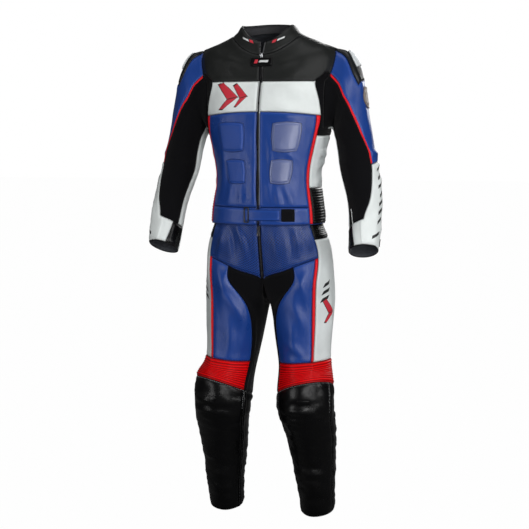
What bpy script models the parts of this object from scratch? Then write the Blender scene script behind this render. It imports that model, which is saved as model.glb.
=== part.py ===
"""A two-piece motorcycle race suit in leather, jacket and trousers, in the hollow form it has when worn.

The frame: +Z is up, the front faces -Y and +X is the wearer's left. The origin is at the base of the neck.
Every garment is a coarse cage of rings. Each cage cell belongs to one cut piece, and a cut piece is the wall
made from its cells, drawn back a little at its seams. Tables are in millimetres and degrees.
"""

import math
from collections import namedtuple

import bmesh
import bpy
import numpy as np
from mathutils import Matrix

MM = 0.001
SEAM_GAP = 0.34
LEATHER = 2.0
STRETCH = 1.6
ZIP_HALF = 4.0
COLLAR_TOP_HALF = 7.0
FLY_HALF = 3.2
SEAT_HALF = 9.0
ROUNDNESS = 0.8
LAID_GAP = 0.7
PAD_GAP = 1.3
HANDS = ((1, "left"), (-1, "right"))

# ---------------------------------------------------------------- tables

# A torso ring: heights and depths at the front, side and back, and the half width.
Ring = namedtuple("Ring", "name z_front z_side z_back half_width y_front y_side y_back")
TORSO = [
    Ring("collar_top", -12, 40, 46, 77, -66, -2, 58),
    Ring("collar_mid", -32, 22, 34, 90, -73, 2, 64),
    Ring("neck", -50, 10, 22, 105, -78, 5, 70),
    Ring("trapezius", -64, -10, -8, 152, -80, 20, 92),
    Ring("shoulder", -80, -34, -48, 205, -84, 26, 108),
    Ring("stretch_top", -100, -106, -102, 206, -86, 18, 120),
    Ring("yoke_seam", -126, -125, -128, 195, -92, 14, 128),
    Ring("mid_chest", -170, -170, -170, 190, -106, 11, 132),
    Ring("chest_seam", -213, -226, -216, 187, -115, 10, 131),
    Ring("armpit", -252, -262, -255, 184, -117, 10, 127),
    Ring("underarm", -278, -282, -280, 179, -118, 10, 124),
    Ring("ribs", -328, -330, -330, 167, -119, 10, 118),
    Ring("waist", -380, -382, -380, 156, -119, 10, 113),
    Ring("pleats_top", -431, -433, -431, 156, -119, 6, 110),
    Ring("band_top", -489, -487, -487, 165, -118, -1, 110),
    Ring("hem", -540, -537, -537, 169, -117, -4, 110),
]
NECK, YOKE_SEAM, CHEST_SEAM, ARMPIT, UNDERARM, PLEATS_TOP, BAND_TOP = 2, 6, 8, 9, 10, 13, 14
SHOULDER, STRETCH_TOP = 4, 5

# Seam columns of the torso, counted from the centre front (0) to the centre back (13), in degrees.
# stripe_front and stripe_back bound the red stripe, and stripe_back is the chest panel's edge higher up.
STRIPE_FRONT, CHEST_EDGE, ARM_FRONT, ARM_BACK, SIDE_BACK, BACK_CENTRE = 4, 5, 6, 10, 9, 13
TorsoSeams = namedtuple("TorsoSeams", "stripe_front chest_edge arm_front arm_back")
SEAMS_BY_RING = {
    "collar_top": TorsoSeams(57, 69, 80, 112),
    "collar_mid": TorsoSeams(57, 69, 80, 112),
    "neck": TorsoSeams(57, 69, 80, 112),
    "trapezius": TorsoSeams(53, 65, 77, 110),
    "shoulder": TorsoSeams(48, 62, 78, 108),
    "stretch_top": TorsoSeams(45, 57, 66, 121),
    "yoke_seam": TorsoSeams(43, 49, 65, 122),
    "mid_chest": TorsoSeams(50, 57, 66, 122),
    "chest_seam": TorsoSeams(56, 64, 69, 121),
}
BODY_SEAMS = TorsoSeams(56, 61.5, 71, 119)
# The jacket hangs a little twisted, so the right stripe lies further round below the chest.
RIGHT_SEAMS_BY_RING = {
    "armpit": TorsoSeams(59, 65.5, 71, 119),
    "underarm": TorsoSeams(62, 68, 73, 119),
}
RIGHT_BODY_SEAMS = TorsoSeams(65, 70.5, 78, 119)

# A limb ring: its outermost and innermost points, its centre depth, its half depth, and how much
# higher its front is than its middle.
LimbRing = namedtuple("LimbRing", "name outer_x outer_z inner_x inner_z y depth rise")
SLEEVE = [
    LimbRing("head_top", 240, -37, 191, -266, 21, 63, 0),
    LimbRing("head_middle", 268, -76, 194, -272, 20, 67, 0),
    LimbRing("head_low", 281, -122, 196, -277, 18, 69, 0),
    LimbRing("upper_arm", 293, -190, 199, -286, 12, 69, 2),
    LimbRing("above_elbow", 306, -262, 205, -304, 8, 66, 3),
    LimbRing("elbow_top", 318, -322, 213, -348, 2, 62, 3),
    LimbRing("elbow", 326, -357, 219, -384, -2, 60, -8),
    LimbRing("forearm_top", 338, -412, 233, -430, -12, 57, 4),
    LimbRing("forearm", 347, -474, 248, -486, -29, 53, 9),
    LimbRing("stretch_hem", 349, -520, 256, -552, -51, 49, 18),
    LimbRing("cuff", 347, -604, 260, -616, -79, 46, 22),
]
# Seams of a sleeve, in degrees from its front towards the outer side.
SleeveSeams = namedtuple("SleeveSeams", "strip_front piping cap_front cap_back rear")
SLEEVE_SEAMS = {
    "head_top": SleeveSeams(-45, 9, 55, 130, 225),
    "head_middle": SleeveSeams(-46, 5, 46, 132, 225),
    "head_low": SleeveSeams(-46, 11, 56, 130, 225),
    "upper_arm": SleeveSeams(-46, 22, 60, 130, 225),
    "above_elbow": SleeveSeams(-46, 36, 66, 130, 225),
    "elbow_top": SleeveSeams(-46, 54, 78, 130, 225),
    "elbow": SleeveSeams(-46, 57, 80, 130, 225),
    "forearm_top": SleeveSeams(-46, 44, 72, 130, 225),
    "forearm": SleeveSeams(-46, 26, 60, 130, 225),
    "stretch_hem": SleeveSeams(-45, 5, 46, 130, 228),
    "cuff": SleeveSeams(-27, 14, 50, 132, 236),
}
STRIP_FRONT, PIPING, CAP_FRONT, CAP_BACK, BLUE_REAR, REAR, STRIP_REAR, STRETCH_REAR = 0, 4, 5, 9, 11, 14, 15, 17
SLEEVE_COLUMNS = 18
HEAD_LOW_ROW, ELBOW_ROW, STRETCH_HEM_ROW = 3, 7, 10

# A hip ring: as a torso ring, with how far the centre front is drawn in.
HipRing = namedtuple("HipRing", "name z_front z_side z_back half_width y_front y_side y_back cleft")
HIPS = [
    HipRing("waist", -503, -503, -503, 156, -109, -3, 100, 0),
    HipRing("under_hem", -543, -541, -541, 161, -109, -4, 102, 2),
    HipRing("hip", -602, -580, -590, 176, -108, 0, 112, 10),
    HipRing("v_seam", -701, -628, -694, 187, -100, 6, 122, 30),
]
CLEFT_WIDTH = 45.0
# Seams of the hips, in degrees from the centre front.
HipSeams = namedtuple("HipSeams", "gusset stripe_front stripe_back side_back")
HIP_SEAMS = HipSeams(26.5, 54, 59.5, 118)
GUSSET, STRIPE_1, STRIPE_2, LEG_SIDE_BACK, LEG_BACK = 2, 4, 5, 8, 11
LEG_COLUMNS = 15
# The seam under the crotch, front to back, between the two ends of the v_seam ring.
CrotchPoint = namedtuple("CrotchPoint", "y z")
CROTCH = [CrotchPoint(-44, -738), CrotchPoint(2, -766), CrotchPoint(52, -752)]

LEG = [
    LimbRing("thigh_top", 193, -772, 9, -796, 16, 107, 12),
    LimbRing("thigh", 191, -865, 23, -878, 6, 95, 0),
    LimbRing("knee_top", 190, -938, 38, -952, -6, 85, 2),
    LimbRing("knee_upper", 199, -972, 42, -1000, -30, 85, 10),
    LimbRing("knee_low", 208, -1004, 43, -1046, -47, 86, 28),
    LimbRing("knee_cap", 212, -1072, 45, -1086, -55, 84, 10),
    LimbRing("shin_top", 212, -1132, 56, -1136, -36, 80, 2),
    LimbRing("calf", 209, -1192, 66, -1196, -8, 75, 0),
    LimbRing("shin", 203, -1262, 77, -1266, 8, 66, -4),
    LimbRing("ankle_top", 199, -1330, 87, -1334, 20, 58, -8),
    LimbRing("leg_hem", 195, -1402, 93, -1406, 36, 53, -14),
]
LegSeams = namedtuple("LegSeams", "gusset stripe_front stripe_back side_back gusset_back")
LEG_SEAMS = {
    "thigh_top": LegSeams(-36, 34, 40, 126, 236),
    "thigh": LegSeams(-56, 32, 37.5, 127, 242),
    "knee_top": LegSeams(-65, 29, 34.5, 128, 247),
    "knee_upper": LegSeams(-65, 18, 40, 128, 247),
}
LOWER_LEG_SEAMS = LegSeams(-64, 8, 42, 130, 247)
SHIN_OUTER = 6
KNEE_TOP_ROW, KNEE_LOW_ROW = 4, 6

# ---------------------------------------------------------------- cage


class Cage:
    """Points shared by neighbouring cells, and the cells with the name of the piece each belongs to."""

    def __init__(self):
        self.points = []
        self.cells = []

    def add(self, point):
        self.points.append(np.array(point, float))
        return len(self.points) - 1

    def cell(self, piece, corners, side):
        self.cells.append((piece, tuple(corners if side > 0 else reversed(corners))))

    def normals(self):
        """The mean normal of the cells round each point."""
        total = np.zeros((len(self.points), 3))
        place = np.array(self.points)
        for _, corners in self.cells:
            a, b, c, d = place[list(corners)]
            normal = np.cross(c - a, d - b)
            for corner in corners:
                total[corner] += normal / np.linalg.norm(normal)
        return total / np.linalg.norm(total, axis=1)[:, None]


def spread(anchors, columns):
    """An angle for each column, evenly spaced between the seams that are given."""
    return np.interp(columns, list(anchors), list(anchors.values()))


def round_section(angle, half_width, y_front, y_side, y_back):
    """A point of a rounded-square section, at an angle from the front."""
    sine, cosine = math.sin(math.radians(angle)), math.cos(math.radians(angle))
    x = half_width * abs(sine) ** ROUNDNESS
    reach = (y_front if cosine > 0 else y_back) - y_side
    return x, y_side + reach * abs(cosine) ** ROUNDNESS


def torso_point(ring, angle, half_opening):
    x, y = round_section(angle, ring.half_width, ring.y_front, ring.y_side, ring.y_back)
    end_z = ring.z_front if angle < 90 else ring.z_back
    z = ring.z_side + (end_z - ring.z_side) * (1 - (x / ring.half_width) ** 2)
    return (max(x, half_opening) if angle < 90 else x), y, z


def torso_angles(ring, side):
    seams = SEAMS_BY_RING.get(ring.name, BODY_SEAMS)
    if side < 0 and seams is BODY_SEAMS:
        seams = RIGHT_SEAMS_BY_RING.get(ring.name, RIGHT_BODY_SEAMS)
    anchors = {
        0: 0.0,
        STRIPE_FRONT: seams.stripe_front,
        CHEST_EDGE: seams.chest_edge,
        ARM_FRONT: seams.arm_front,
        ARM_BACK: seams.arm_back,
        BACK_CENTRE: 180.0,
    }
    return spread(anchors, range(BACK_CENTRE + 1))


def limb_point(ring, angle):
    """A point of a limb ring, at an angle from its front towards its outer side."""
    sine, cosine = math.sin(math.radians(angle)), math.cos(math.radians(angle))
    x = (ring.outer_x + ring.inner_x) / 2 + sine * (ring.outer_x - ring.inner_x) / 2
    z = (ring.outer_z + ring.inner_z) / 2 + sine * (ring.outer_z - ring.inner_z) / 2
    return x, ring.y - cosine * ring.depth, z + cosine * ring.rise


def mirrored(point, side):
    return side * point[0], point[1], point[2]


def in_armhole(row, column):
    return SHOULDER <= row < ARMPIT and ARM_FRONT <= column < ARM_BACK


def torso_piece(row, column, hand):
    """The cut piece that the cell below this row and after this column belongs to."""
    if row < NECK:
        return "collar"
    if row < YOKE_SEAM:
        return "underarm_" + hand if row == STRETCH_TOP and column == CHEST_EDGE else "yoke"
    if column >= ARM_BACK:
        return "back"
    if row < CHEST_SEAM:
        return ("underarm_" if column >= CHEST_EDGE else "chest_") + hand
    if column < STRIPE_FRONT:
        return ("band_" if row >= BAND_TOP else "body_") + hand
    if column < CHEST_EDGE:
        return "side_stripe_" + hand
    if row < UNDERARM:
        return "underarm_" + hand
    return ("side_pleats_" if row >= PLEATS_TOP else "side_white_") + hand


def build_torso(cage):
    """Rings from the collar to the hem. It returns the points' indices by side, row and column."""
    grid = {}
    for row, ring in enumerate(TORSO):
        half_opening = ZIP_HALF + (COLLAR_TOP_HALF - ZIP_HALF) * max(0, NECK - row) / NECK
        for side in (1, -1):
            for column, angle in enumerate(torso_angles(ring, side)):
                if SHOULDER < row < ARMPIT and ARM_FRONT < column < ARM_BACK:
                    continue
                if column == BACK_CENTRE and side < 0:
                    grid[side, row, column] = grid[1, row, column]
                    continue
                grid[side, row, column] = cage.add(mirrored(torso_point(ring, angle, half_opening), side))
    for side, hand in HANDS:
        for row in range(len(TORSO) - 1):
            for column in range(BACK_CENTRE):
                if in_armhole(row, column):
                    continue
                corners = [
                    grid[side, row, column],
                    grid[side, row + 1, column],
                    grid[side, row + 1, column + 1],
                    grid[side, row, column + 1],
                ]
                cage.cell(torso_piece(row, column, hand), corners, side)
    return grid


def armhole_loop():
    """The (row, column) of the torso points that a sleeve starts from: front edge, top, back edge, bottom."""
    front = [(row, ARM_FRONT) for row in range(ARMPIT, SHOULDER, -1)]
    top = [(SHOULDER, column) for column in range(ARM_FRONT, ARM_BACK)]
    back = [(row, ARM_BACK) for row in range(SHOULDER, ARMPIT)]
    bottom = [(ARMPIT, column) for column in range(ARM_BACK, ARM_FRONT, -1)]
    return front + top + back + bottom


def sleeve_angles(ring):
    seams = SLEEVE_SEAMS[ring.name]
    anchors = {
        STRIP_FRONT: seams.strip_front,
        PIPING: seams.piping,
        CAP_FRONT: seams.cap_front,
        CAP_BACK: seams.cap_back,
        REAR: seams.rear,
        SLEEVE_COLUMNS: seams.strip_front + 360,
    }
    return spread(anchors, range(SLEEVE_COLUMNS))


def sleeve_piece(row, column):
    in_front = column >= STRETCH_REAR or column < PIPING
    if row < ELBOW_ROW:
        if in_front:
            return "sleeve_stretch"
        if row < HEAD_LOW_ROW and CAP_FRONT <= column < CAP_BACK:
            return "sleeve_cap"
        return "sleeve_blue" if column < BLUE_REAR else "sleeve_white"
    if row < STRETCH_HEM_ROW:
        return "sleeve_stretch" if in_front else "sleeve_white"
    return "sleeve_strip" if column >= STRIP_REAR else "sleeve_white"


def close_tube(cage, rows, piece_of, hand, side):
    count = len(rows[0])
    for row in range(len(rows) - 1):
        for column in range(count):
            after = (column + 1) % count
            corners = [rows[row][column], rows[row + 1][column], rows[row + 1][after], rows[row][after]]
            piece = piece_of(row, column)
            cage.cell(piece if piece == "gusset" or piece == "seat" else f"{piece}_{hand}", corners, side)


def build_sleeve(cage, torso, side, hand):
    rows = [[torso[side, row, column] for row, column in armhole_loop()]]
    for ring in SLEEVE:
        rows.append([cage.add(mirrored(limb_point(ring, a), side)) for a in sleeve_angles(ring)])
    close_tube(cage, rows, sleeve_piece, hand, side)
    return rows


def hip_point(ring, angle):
    x, y = round_section(angle, ring.half_width, ring.y_front, ring.y_side, ring.y_back)
    end_z = ring.z_front if angle < 90 else ring.z_back
    z = ring.z_side + (end_z - ring.z_side) * (1 - x / ring.half_width)
    drawn_in = ring.cleft * math.exp(-((x / CLEFT_WIDTH) ** 2))
    y += drawn_in if angle < 90 else -drawn_in / 2
    return max(x, FLY_HALF if angle < 90 else SEAT_HALF), y, z


def hip_piece(row, column, hand):
    if column < STRIPE_2:
        return "hip_yoke_" + hand
    if column >= LEG_SIDE_BACK:
        return "seat"
    return ("hip_pleats_" if row < len(HIPS) - 2 else "leg_side_") + hand


def leg_piece(row, column):
    """Row 0 is between the v seam and the first whole ring."""
    inner = column >= LEG_BACK or column < GUSSET
    if row < KNEE_LOW_ROW and inner:
        return "gusset"
    if row < KNEE_TOP_ROW:
        if column < STRIPE_1:
            return "thigh"
        if column < STRIPE_2:
            return "leg_stripe"
        return "leg_side" if column < LEG_SIDE_BACK else "seat"
    if row < KNEE_LOW_ROW:
        return "knee" if column < LEG_SIDE_BACK else "calf"
    return "shin" if GUSSET <= column < SHIN_OUTER else "calf"


def leg_angles(ring):
    seams = LEG_SEAMS.get(ring.name, LOWER_LEG_SEAMS)
    anchors = {
        GUSSET: seams.gusset,
        STRIPE_1: seams.stripe_front,
        STRIPE_2: seams.stripe_back,
        LEG_SIDE_BACK: seams.side_back,
        LEG_BACK: seams.gusset_back,
        LEG_COLUMNS + GUSSET: seams.gusset + 360,
    }
    columns = [column if column >= GUSSET else column + LEG_COLUMNS for column in range(LEG_COLUMNS)]
    return spread(anchors, columns)


def between_rings(upper, lower, column):
    """A point of the ring between the v seam and the thigh, a little fuller than the mean."""
    keeps_wide = {1: 20.0, GUSSET: 22.0, 3: 12.0}.get(column, 0.0)
    point = (np.array(upper) + np.array(lower)) / 2
    fuller = 8.0 if column <= LEG_BACK else 0.0
    away = np.sign(point[1] - 10.0) * fuller
    higher = 10.0 if column in (GUSSET, 3) else 0.0
    return point + np.array([keeps_wide, away, higher])


def build_trousers(cage):
    hip_anchors = {
        0: 0.0,
        GUSSET: HIP_SEAMS.gusset,
        STRIPE_1: HIP_SEAMS.stripe_front,
        STRIPE_2: HIP_SEAMS.stripe_back,
        LEG_SIDE_BACK: HIP_SEAMS.side_back,
        LEG_BACK: 180.0,
    }
    angles = spread(hip_anchors, range(LEG_BACK + 1))
    hips, legs, crotch = {}, {}, {}
    for side, hand in HANDS:
        for row, ring in enumerate(HIPS):
            for column, angle in enumerate(angles):
                hips[side, row, column] = cage.add(mirrored(hip_point(ring, angle), side))
        for row in range(len(HIPS) - 1):
            for column in range(LEG_BACK):
                corners = [
                    hips[side, row, column],
                    hips[side, row + 1, column],
                    hips[side, row + 1, column + 1],
                    hips[side, row, column + 1],
                ]
                cage.cell(hip_piece(row, column, hand), corners, side)
        last = len(HIPS) - 1
        crotch[side] = [cage.add((side * SEAT_HALF, p.y, p.z)) for p in CROTCH]
        loop = [hips[side, last, column] for column in range(LEG_BACK + 1)] + crotch[side][::-1]
        rings = [[mirrored(limb_point(ring, a), 1) for a in leg_angles(ring)] for ring in LEG]
        loop_points = [mirrored(cage.points[i], side) for i in loop]
        first = [between_rings(u, l, c) for c, (u, l) in enumerate(zip(loop_points, rings[0]))]
        rows = [loop] + [[cage.add(mirrored(p, side)) for p in ring] for ring in [first] + rings]
        close_tube(cage, rows, leg_piece, hand, side)
        legs[side] = rows
    join_halves(cage, hips, crotch)
    return hips, legs


def join_halves(cage, hips, crotch):
    """The narrow strip between the halves: the fly zip, the crotch and the seat seam."""
    last = len(HIPS) - 1
    for row in range(last):
        front = [hips[-1, row, 0], hips[-1, row + 1, 0], hips[1, row + 1, 0], hips[1, row, 0]]
        cage.cell("fly_zip", front, 1)
        back = [hips[1, row, LEG_BACK], hips[1, row + 1, LEG_BACK]]
        back += [hips[-1, row + 1, LEG_BACK], hips[-1, row, LEG_BACK]]
        cage.cell("seat", back, 1)
    left = [hips[1, last, 0]] + crotch[1] + [hips[1, last, LEG_BACK]]
    right = [hips[-1, last, 0]] + crotch[-1] + [hips[-1, last, LEG_BACK]]
    for upper in range(len(left) - 1):
        cage.cell("gusset", [right[upper], right[upper + 1], left[upper + 1], left[upper]], 1)


# ---------------------------------------------------------------- walls


def boundary_of(faces):
    """The edges that only one face has, each in its face's direction, with that face."""
    edges = {}
    for face in faces:
        for start, end in zip(face, face[1:] + face[:1]):
            if (end, start) in edges:
                del edges[end, start]
            else:
                edges[start, end] = face
    return edges


def drawn_back(points, faces, distance):
    """How far each boundary point moves so that its edges lie this far inside the cells' own edges."""
    moves = {}
    for (start, end), face in boundary_of(faces).items():
        a, b, c, d = (points[i] for i in face)
        normal = np.cross(c - a, d - b)
        inward = np.cross(normal, points[end] - points[start])
        inward /= np.linalg.norm(inward)
        moves.setdefault(start, []).append(inward)
        moves.setdefault(end, []).append(inward)
    shift = {}
    for index, ways in moves.items():
        total = np.sum(ways, axis=0)
        if len(ways) == 2:
            total /= max(0.4, 1.0 + float(np.dot(ways[0], ways[1])))
        shift[index] = total * distance
    return shift


def add_wall(mesh, outer, inner, faces, rim):
    """Both skins, cut along the same diagonals, and the rim, cut as the neighbour's rim is."""
    out_verts = {i: mesh.verts.new(p * MM) for i, p in outer.items()}
    in_verts = {i: mesh.verts.new(p * MM) for i, p in inner.items()}
    for face in faces:
        a, b, c, d = face
        if np.linalg.norm(outer[b] - outer[d]) < np.linalg.norm(outer[a] - outer[c]):
            a, b, c, d = b, c, d, a
        for triangle in ((a, b, c), (a, c, d)):
            mesh.faces.new([out_verts[i] for i in triangle])
            mesh.faces.new([in_verts[i] for i in reversed(triangle)])
    for start, end in rim:
        low, high = sorted((start, end))
        across, square = (out_verts[low], in_verts[high]), (out_verts[high], in_verts[low])
        if start == low:
            mesh.faces.new((square[0], across[0], across[1]))
            mesh.faces.new((across[0], square[1], across[1]))
        else:
            mesh.faces.new((across[0], square[0], across[1]))
            mesh.faces.new((across[0], across[1], square[1]))


def wall_object(name, points, normals, faces, wall, look, gap=SEAM_GAP):
    """A closed wall whose outer skin is these cells, drawn back from its seams by half the gap."""
    used = sorted({index for face in faces for index in face})
    shift = drawn_back(points, faces, gap / 2)
    outer = {i: points[i] + shift.get(i, 0.0) for i in used}
    inner = {i: outer[i] - normals[i] * wall for i in used}
    mesh = bmesh.new()
    add_wall(mesh, outer, inner, faces, boundary_of(faces))
    return new_object(name, mesh, look)


def new_object(name, mesh, look):
    data = bpy.data.meshes.new(name)
    mesh.to_mesh(data)
    mesh.free()
    data.materials.append(look)
    made = bpy.data.objects.new(name, data)
    SUIT.objects.link(made)
    return made


# ---------------------------------------------------------------- laid-on pieces


class Surface:
    """A grid of cage points, read at fractions of a row and column. The right side is read mirrored."""

    def __init__(self, cage, normals, grid, side=1):
        turned = np.array([side, 1, 1])
        self.points = [[cage.points[i] * turned for i in row] for row in grid]
        self.normals = [[normals[i] * turned for i in row] for row in grid]

    def at(self, row, column):
        """The point and the outward direction there."""
        r = min(max(int(row), 0), len(self.points) - 2)
        c = min(max(int(column), 0), len(self.points[0]) - 2)
        down, along = row - r, column - c
        mixed = []
        for table in (self.points, self.normals):
            upper = table[r][c] * (1 - along) + table[r][c + 1] * along
            lower = table[r + 1][c] * (1 - along) + table[r + 1][c + 1] * along
            mixed.append(upper * (1 - down) + lower * down)
        return mixed[0], mixed[1] / np.linalg.norm(mixed[1])

    def over(self, x, z, row, column):
        """The point of the surface with this x and z, found from a first guess."""
        step = 0.01
        for _ in range(30):
            here, normal = self.at(row, column)
            by_row = (self.at(row + step, column)[0] - here) / step
            by_column = (self.at(row, column + step)[0] - here) / step
            slope = np.array([[by_row[0], by_column[0]], [by_row[2], by_column[2]]])
            change = np.linalg.solve(slope, np.array([x, z]) - here[[0, 2]])
            row = min(max(row + float(np.clip(change[0], -0.6, 0.6)), 0.0), len(self.points) - 1.01)
            column = min(max(column + float(np.clip(change[1], -0.6, 0.6)), 0.0), len(self.points[0]) - 1.01)
        return here, normal


def rounded(s, t, rounding):
    """A point of the unit square, drawn in at the corners."""
    u, v = 2 * s - 1, 2 * t - 1
    return (1 + u * math.sqrt(1 - rounding * v * v)) / 2, (1 + v * math.sqrt(1 - rounding * u * u)) / 2


def patch_object(name, place, steps, lift, thickness, look, rounding=0.12, side=1):
    """A laid-on piece. place(s, t) gives a point and direction of the surface over the unit square."""
    across, down = steps
    points, normals, index = [], [], {}
    for j in range(down + 1):
        for i in range(across + 1):
            s, t = rounded(i / across, j / down, rounding)
            point, normal = place(s, t)
            point = np.array(mirrored(point + normal * (lift + thickness), side))
            index[i, j] = len(points)
            points.append(point)
            normals.append(np.array(mirrored(normal, side)))
    faces = []
    for j in range(down):
        for i in range(across):
            face = (index[i, j], index[i, j + 1], index[i + 1, j + 1], index[i + 1, j])
            faces.append(face if side > 0 else face[::-1])
    return wall_object(name, points, normals, faces, thickness, look, gap=0.0)


# Corners of a piece laid on the front, seen from the front: x at the top and bottom inner and outer edges.
Outline = namedtuple("Outline", "top_in top_out low_in low_out z_top z_low")
PAD_UPPER = Outline(44, 123, 45, 107, -243, -323)
PAD_LOWER = Outline(40, 97, 38, 85, -351, -417)
PAD_THICK = 5.0
STRAP = Outline(-42, 66, -42, 66, -494, -527)
STRAP_PATCH = Outline(68, 106, 68, 106, -492, -529)
NECK_TAB = Outline(-33, 33, -33, 33, -57, -84)


def front_place(surfaces, outline, side=1):
    """The place on the jacket's front at fractions across and down an outline, on either side of the zip.

    With side -1 the outline is on the right, and the place is given mirrored.
    """

    def place(s, t):
        top = outline.top_in + (outline.top_out - outline.top_in) * s
        low = outline.low_in + (outline.low_out - outline.low_in) * s
        x = top + (low - top) * t
        z = outline.z_top + (outline.z_low - outline.z_top) * t
        hand = -1 if x < 0 else 1
        near = max(abs(x), ZIP_HALF + 1)
        point, normal = surfaces[hand * side].over(near, z, 9.0, 2.0)
        return np.array([x, point[1], z]), np.array([hand * normal[0] * abs(x) / near, normal[1], normal[2]])

    return place


def make_pads(front):
    for side, hand in HANDS:
        for level, outline in (("upper", PAD_UPPER), ("lower", PAD_LOWER)):
            place = front_place(front, outline, side)
            patch_object(
                f"pad_{level}_{hand}", place, (5, 5), PAD_GAP, PAD_THICK, BLUE, rounding=0.22, side=side
            )


def box(name, size, centre, look):
    bpy.ops.mesh.primitive_cube_add(size=1)
    made = bpy.context.active_object
    made.name = name
    made.data.transform(Matrix.Translation(centre) @ Matrix.Diagonal((*size, 1)))
    made.data.materials.append(look)
    for holder in list(made.users_collection):
        holder.objects.unlink(made)
    SUIT.objects.link(made)
    return made


def join_into(body, extra):
    """Boolean union, so that the two make one closed body."""
    union = body.modifiers.new("join " + extra.name, "BOOLEAN")
    union.operation = "UNION"
    union.object = extra
    SUIT.objects.unlink(extra)
    CUTTERS.objects.link(extra)
    extra.hide_render = True
    extra.display_type = "WIRE"


def make_strap(front):
    strap = patch_object("waist_strap", front_place(front, STRAP), (10, 2), LAID_GAP, 2.0, BLUE, rounding=0.0)
    bar_x = -0.034
    surface_y = front_place(front, STRAP)(0.08, 0.5)[0][1] * MM
    bar = box("strap_bar", (0.007, 0.0036, 0.041), (bar_x, surface_y - 0.0034, -0.5105), BLACK_PLASTIC)
    join_into(strap, bar)
    patch_object(
        "strap_patch", front_place(front, STRAP_PATCH), (3, 2), LAID_GAP, 1.4, BLACK_FABRIC, rounding=0.04
    )
    patch_object("neck_tab", front_place(front, NECK_TAB), (8, 2), LAID_GAP + 0.5, 2.4, BLACK_LEATHER)


# ---------------------------------------------------------------- sleeve trim

PIPING_HALF = 4.0
PIPING_THICK = 1.4
BADGE_RADIUS = 33.0
BADGE_THICK = 3.0
INSERT_THICK = 2.6


def make_piping(surface, side, hand):
    """A narrow strip along the seam between the stretch and the blue leather."""
    ends = len(SLEEVE) - 4

    def place(s, t):
        row = 0.08 + t * (ends - 0.12)
        point, normal = surface.at(row, PIPING)
        beside = surface.at(row, PIPING + 0.2)[0] - surface.at(row, PIPING - 0.2)[0]
        beside /= np.linalg.norm(beside)
        return point + beside * (2 * s - 1) * PIPING_HALF, normal

    patch_object(
        f"sleeve_piping_{hand}", place, (1, 3 * ends), LAID_GAP, PIPING_THICK, RED, rounding=0.0, side=side
    )


def make_cap_insert(surface, side, hand):
    def place(s, t):
        return surface.at(0.85 + 1.25 * t, CAP_FRONT + 0.7 + 2.3 * s)

    name = f"sleeve_cap_insert_{hand}"
    patch_object(
        name, place, (6, 6), LAID_GAP + 1.8, INSERT_THICK, WHITE_PLASTIC, rounding=0.3, side=side
    )


def make_badge(surface):
    """A soft round badge that follows the outside of the upper arm."""
    centre_row, centre_column = 3.72, 6.9
    step = 0.1
    centre, _ = surface.at(centre_row, centre_column)
    rows_per_mm = step / np.linalg.norm(surface.at(centre_row + step, centre_column)[0] - centre)
    columns_per_mm = step / np.linalg.norm(surface.at(centre_row, centre_column + step)[0] - centre)

    def place(s, t):
        u, v = 2 * s - 1, 2 * t - 1
        along = BADGE_RADIUS * u * math.sqrt(1 - v * v / 2)
        down = BADGE_RADIUS * v * math.sqrt(1 - u * u / 2)
        return surface.at(centre_row + down * rows_per_mm, centre_column + along * columns_per_mm)

    patch_object("badge", place, (8, 6), LAID_GAP + 0.8, BADGE_THICK, GREY_RUBBER, rounding=0.0)


# ---------------------------------------------------------------- fly slider and pull

SLIDER_Z = -0.549
PIN_RADIUS = 0.0011
EYE_RADIUS = 0.0019
PULL_LENGTH = 0.022


def cylinder_x(name, radius, length, centre, look):
    bpy.ops.mesh.primitive_cylinder_add(vertices=16, radius=radius, depth=length)
    made = bpy.context.active_object
    made.name = name
    made.data.transform(Matrix.Translation(centre) @ Matrix.Rotation(math.pi / 2, 4, "Y"))
    made.data.materials.append(look)
    for holder in list(made.users_collection):
        holder.objects.unlink(made)
    SUIT.objects.link(made)
    return made


def make_fly_slider(fly_zip, zip_y):
    """The slider is part of the zip. Its two ears hold a pin, and the pull hangs from the pin."""
    body = box("slider_body", (0.0062, 0.0035, 0.013), (0, zip_y - 0.0012, SLIDER_Z), STEEL)
    join_into(fly_zip, body)
    pin_y = zip_y - 0.0062
    for hand in (-1, 1):
        ear = box("slider_ear", (0.0012, 0.0062, 0.005), (hand * 0.0029, zip_y - 0.0047, SLIDER_Z), STEEL)
        join_into(fly_zip, ear)
    pin = cylinder_x("slider_pin", PIN_RADIUS, 0.0064, (0, pin_y, SLIDER_Z), STEEL)
    join_into(fly_zip, pin)
    return pin_y


def make_fly_pull(pin_y):
    """A flat tag with an eye round the pin. Its origin is on the pin's axis."""
    bpy.ops.mesh.primitive_cylinder_add(vertices=24, radius=0.0031, depth=0.0036)
    pull = bpy.context.active_object
    pull.name = "fly_pull"
    pull.data.transform(Matrix.Rotation(math.pi / 2, 4, "Y"))
    pull.location = (0, pin_y, SLIDER_Z)
    pull.data.materials.append(STEEL)
    for holder in list(pull.users_collection):
        holder.objects.unlink(pull)
    SUIT.objects.link(pull)
    tag = box("pull_tag", (0.0036, 0.0018, PULL_LENGTH - 0.002), (0, 0, 0), STEEL)
    tag.location = (0, pin_y - 0.0014, SLIDER_Z - 0.002 - PULL_LENGTH / 2)
    join_into(pull, tag)
    grip = box("pull_grip", (0.0085, 0.0018, 0.012), (0, 0, 0), STEEL)
    grip.location = (0, pin_y - 0.0014, SLIDER_Z - PULL_LENGTH + 0.005)
    join_into(pull, grip)
    eye = cylinder_x("pull_eye", EYE_RADIUS, 0.01, (0, pin_y, SLIDER_Z), STEEL)
    cut = pull.modifiers.new("eye", "BOOLEAN")
    cut.object = eye
    SUIT.objects.unlink(eye)
    CUTTERS.objects.link(eye)
    eye.hide_render = True
    eye.display_type = "WIRE"


# ---------------------------------------------------------------- materials and collections


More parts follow.
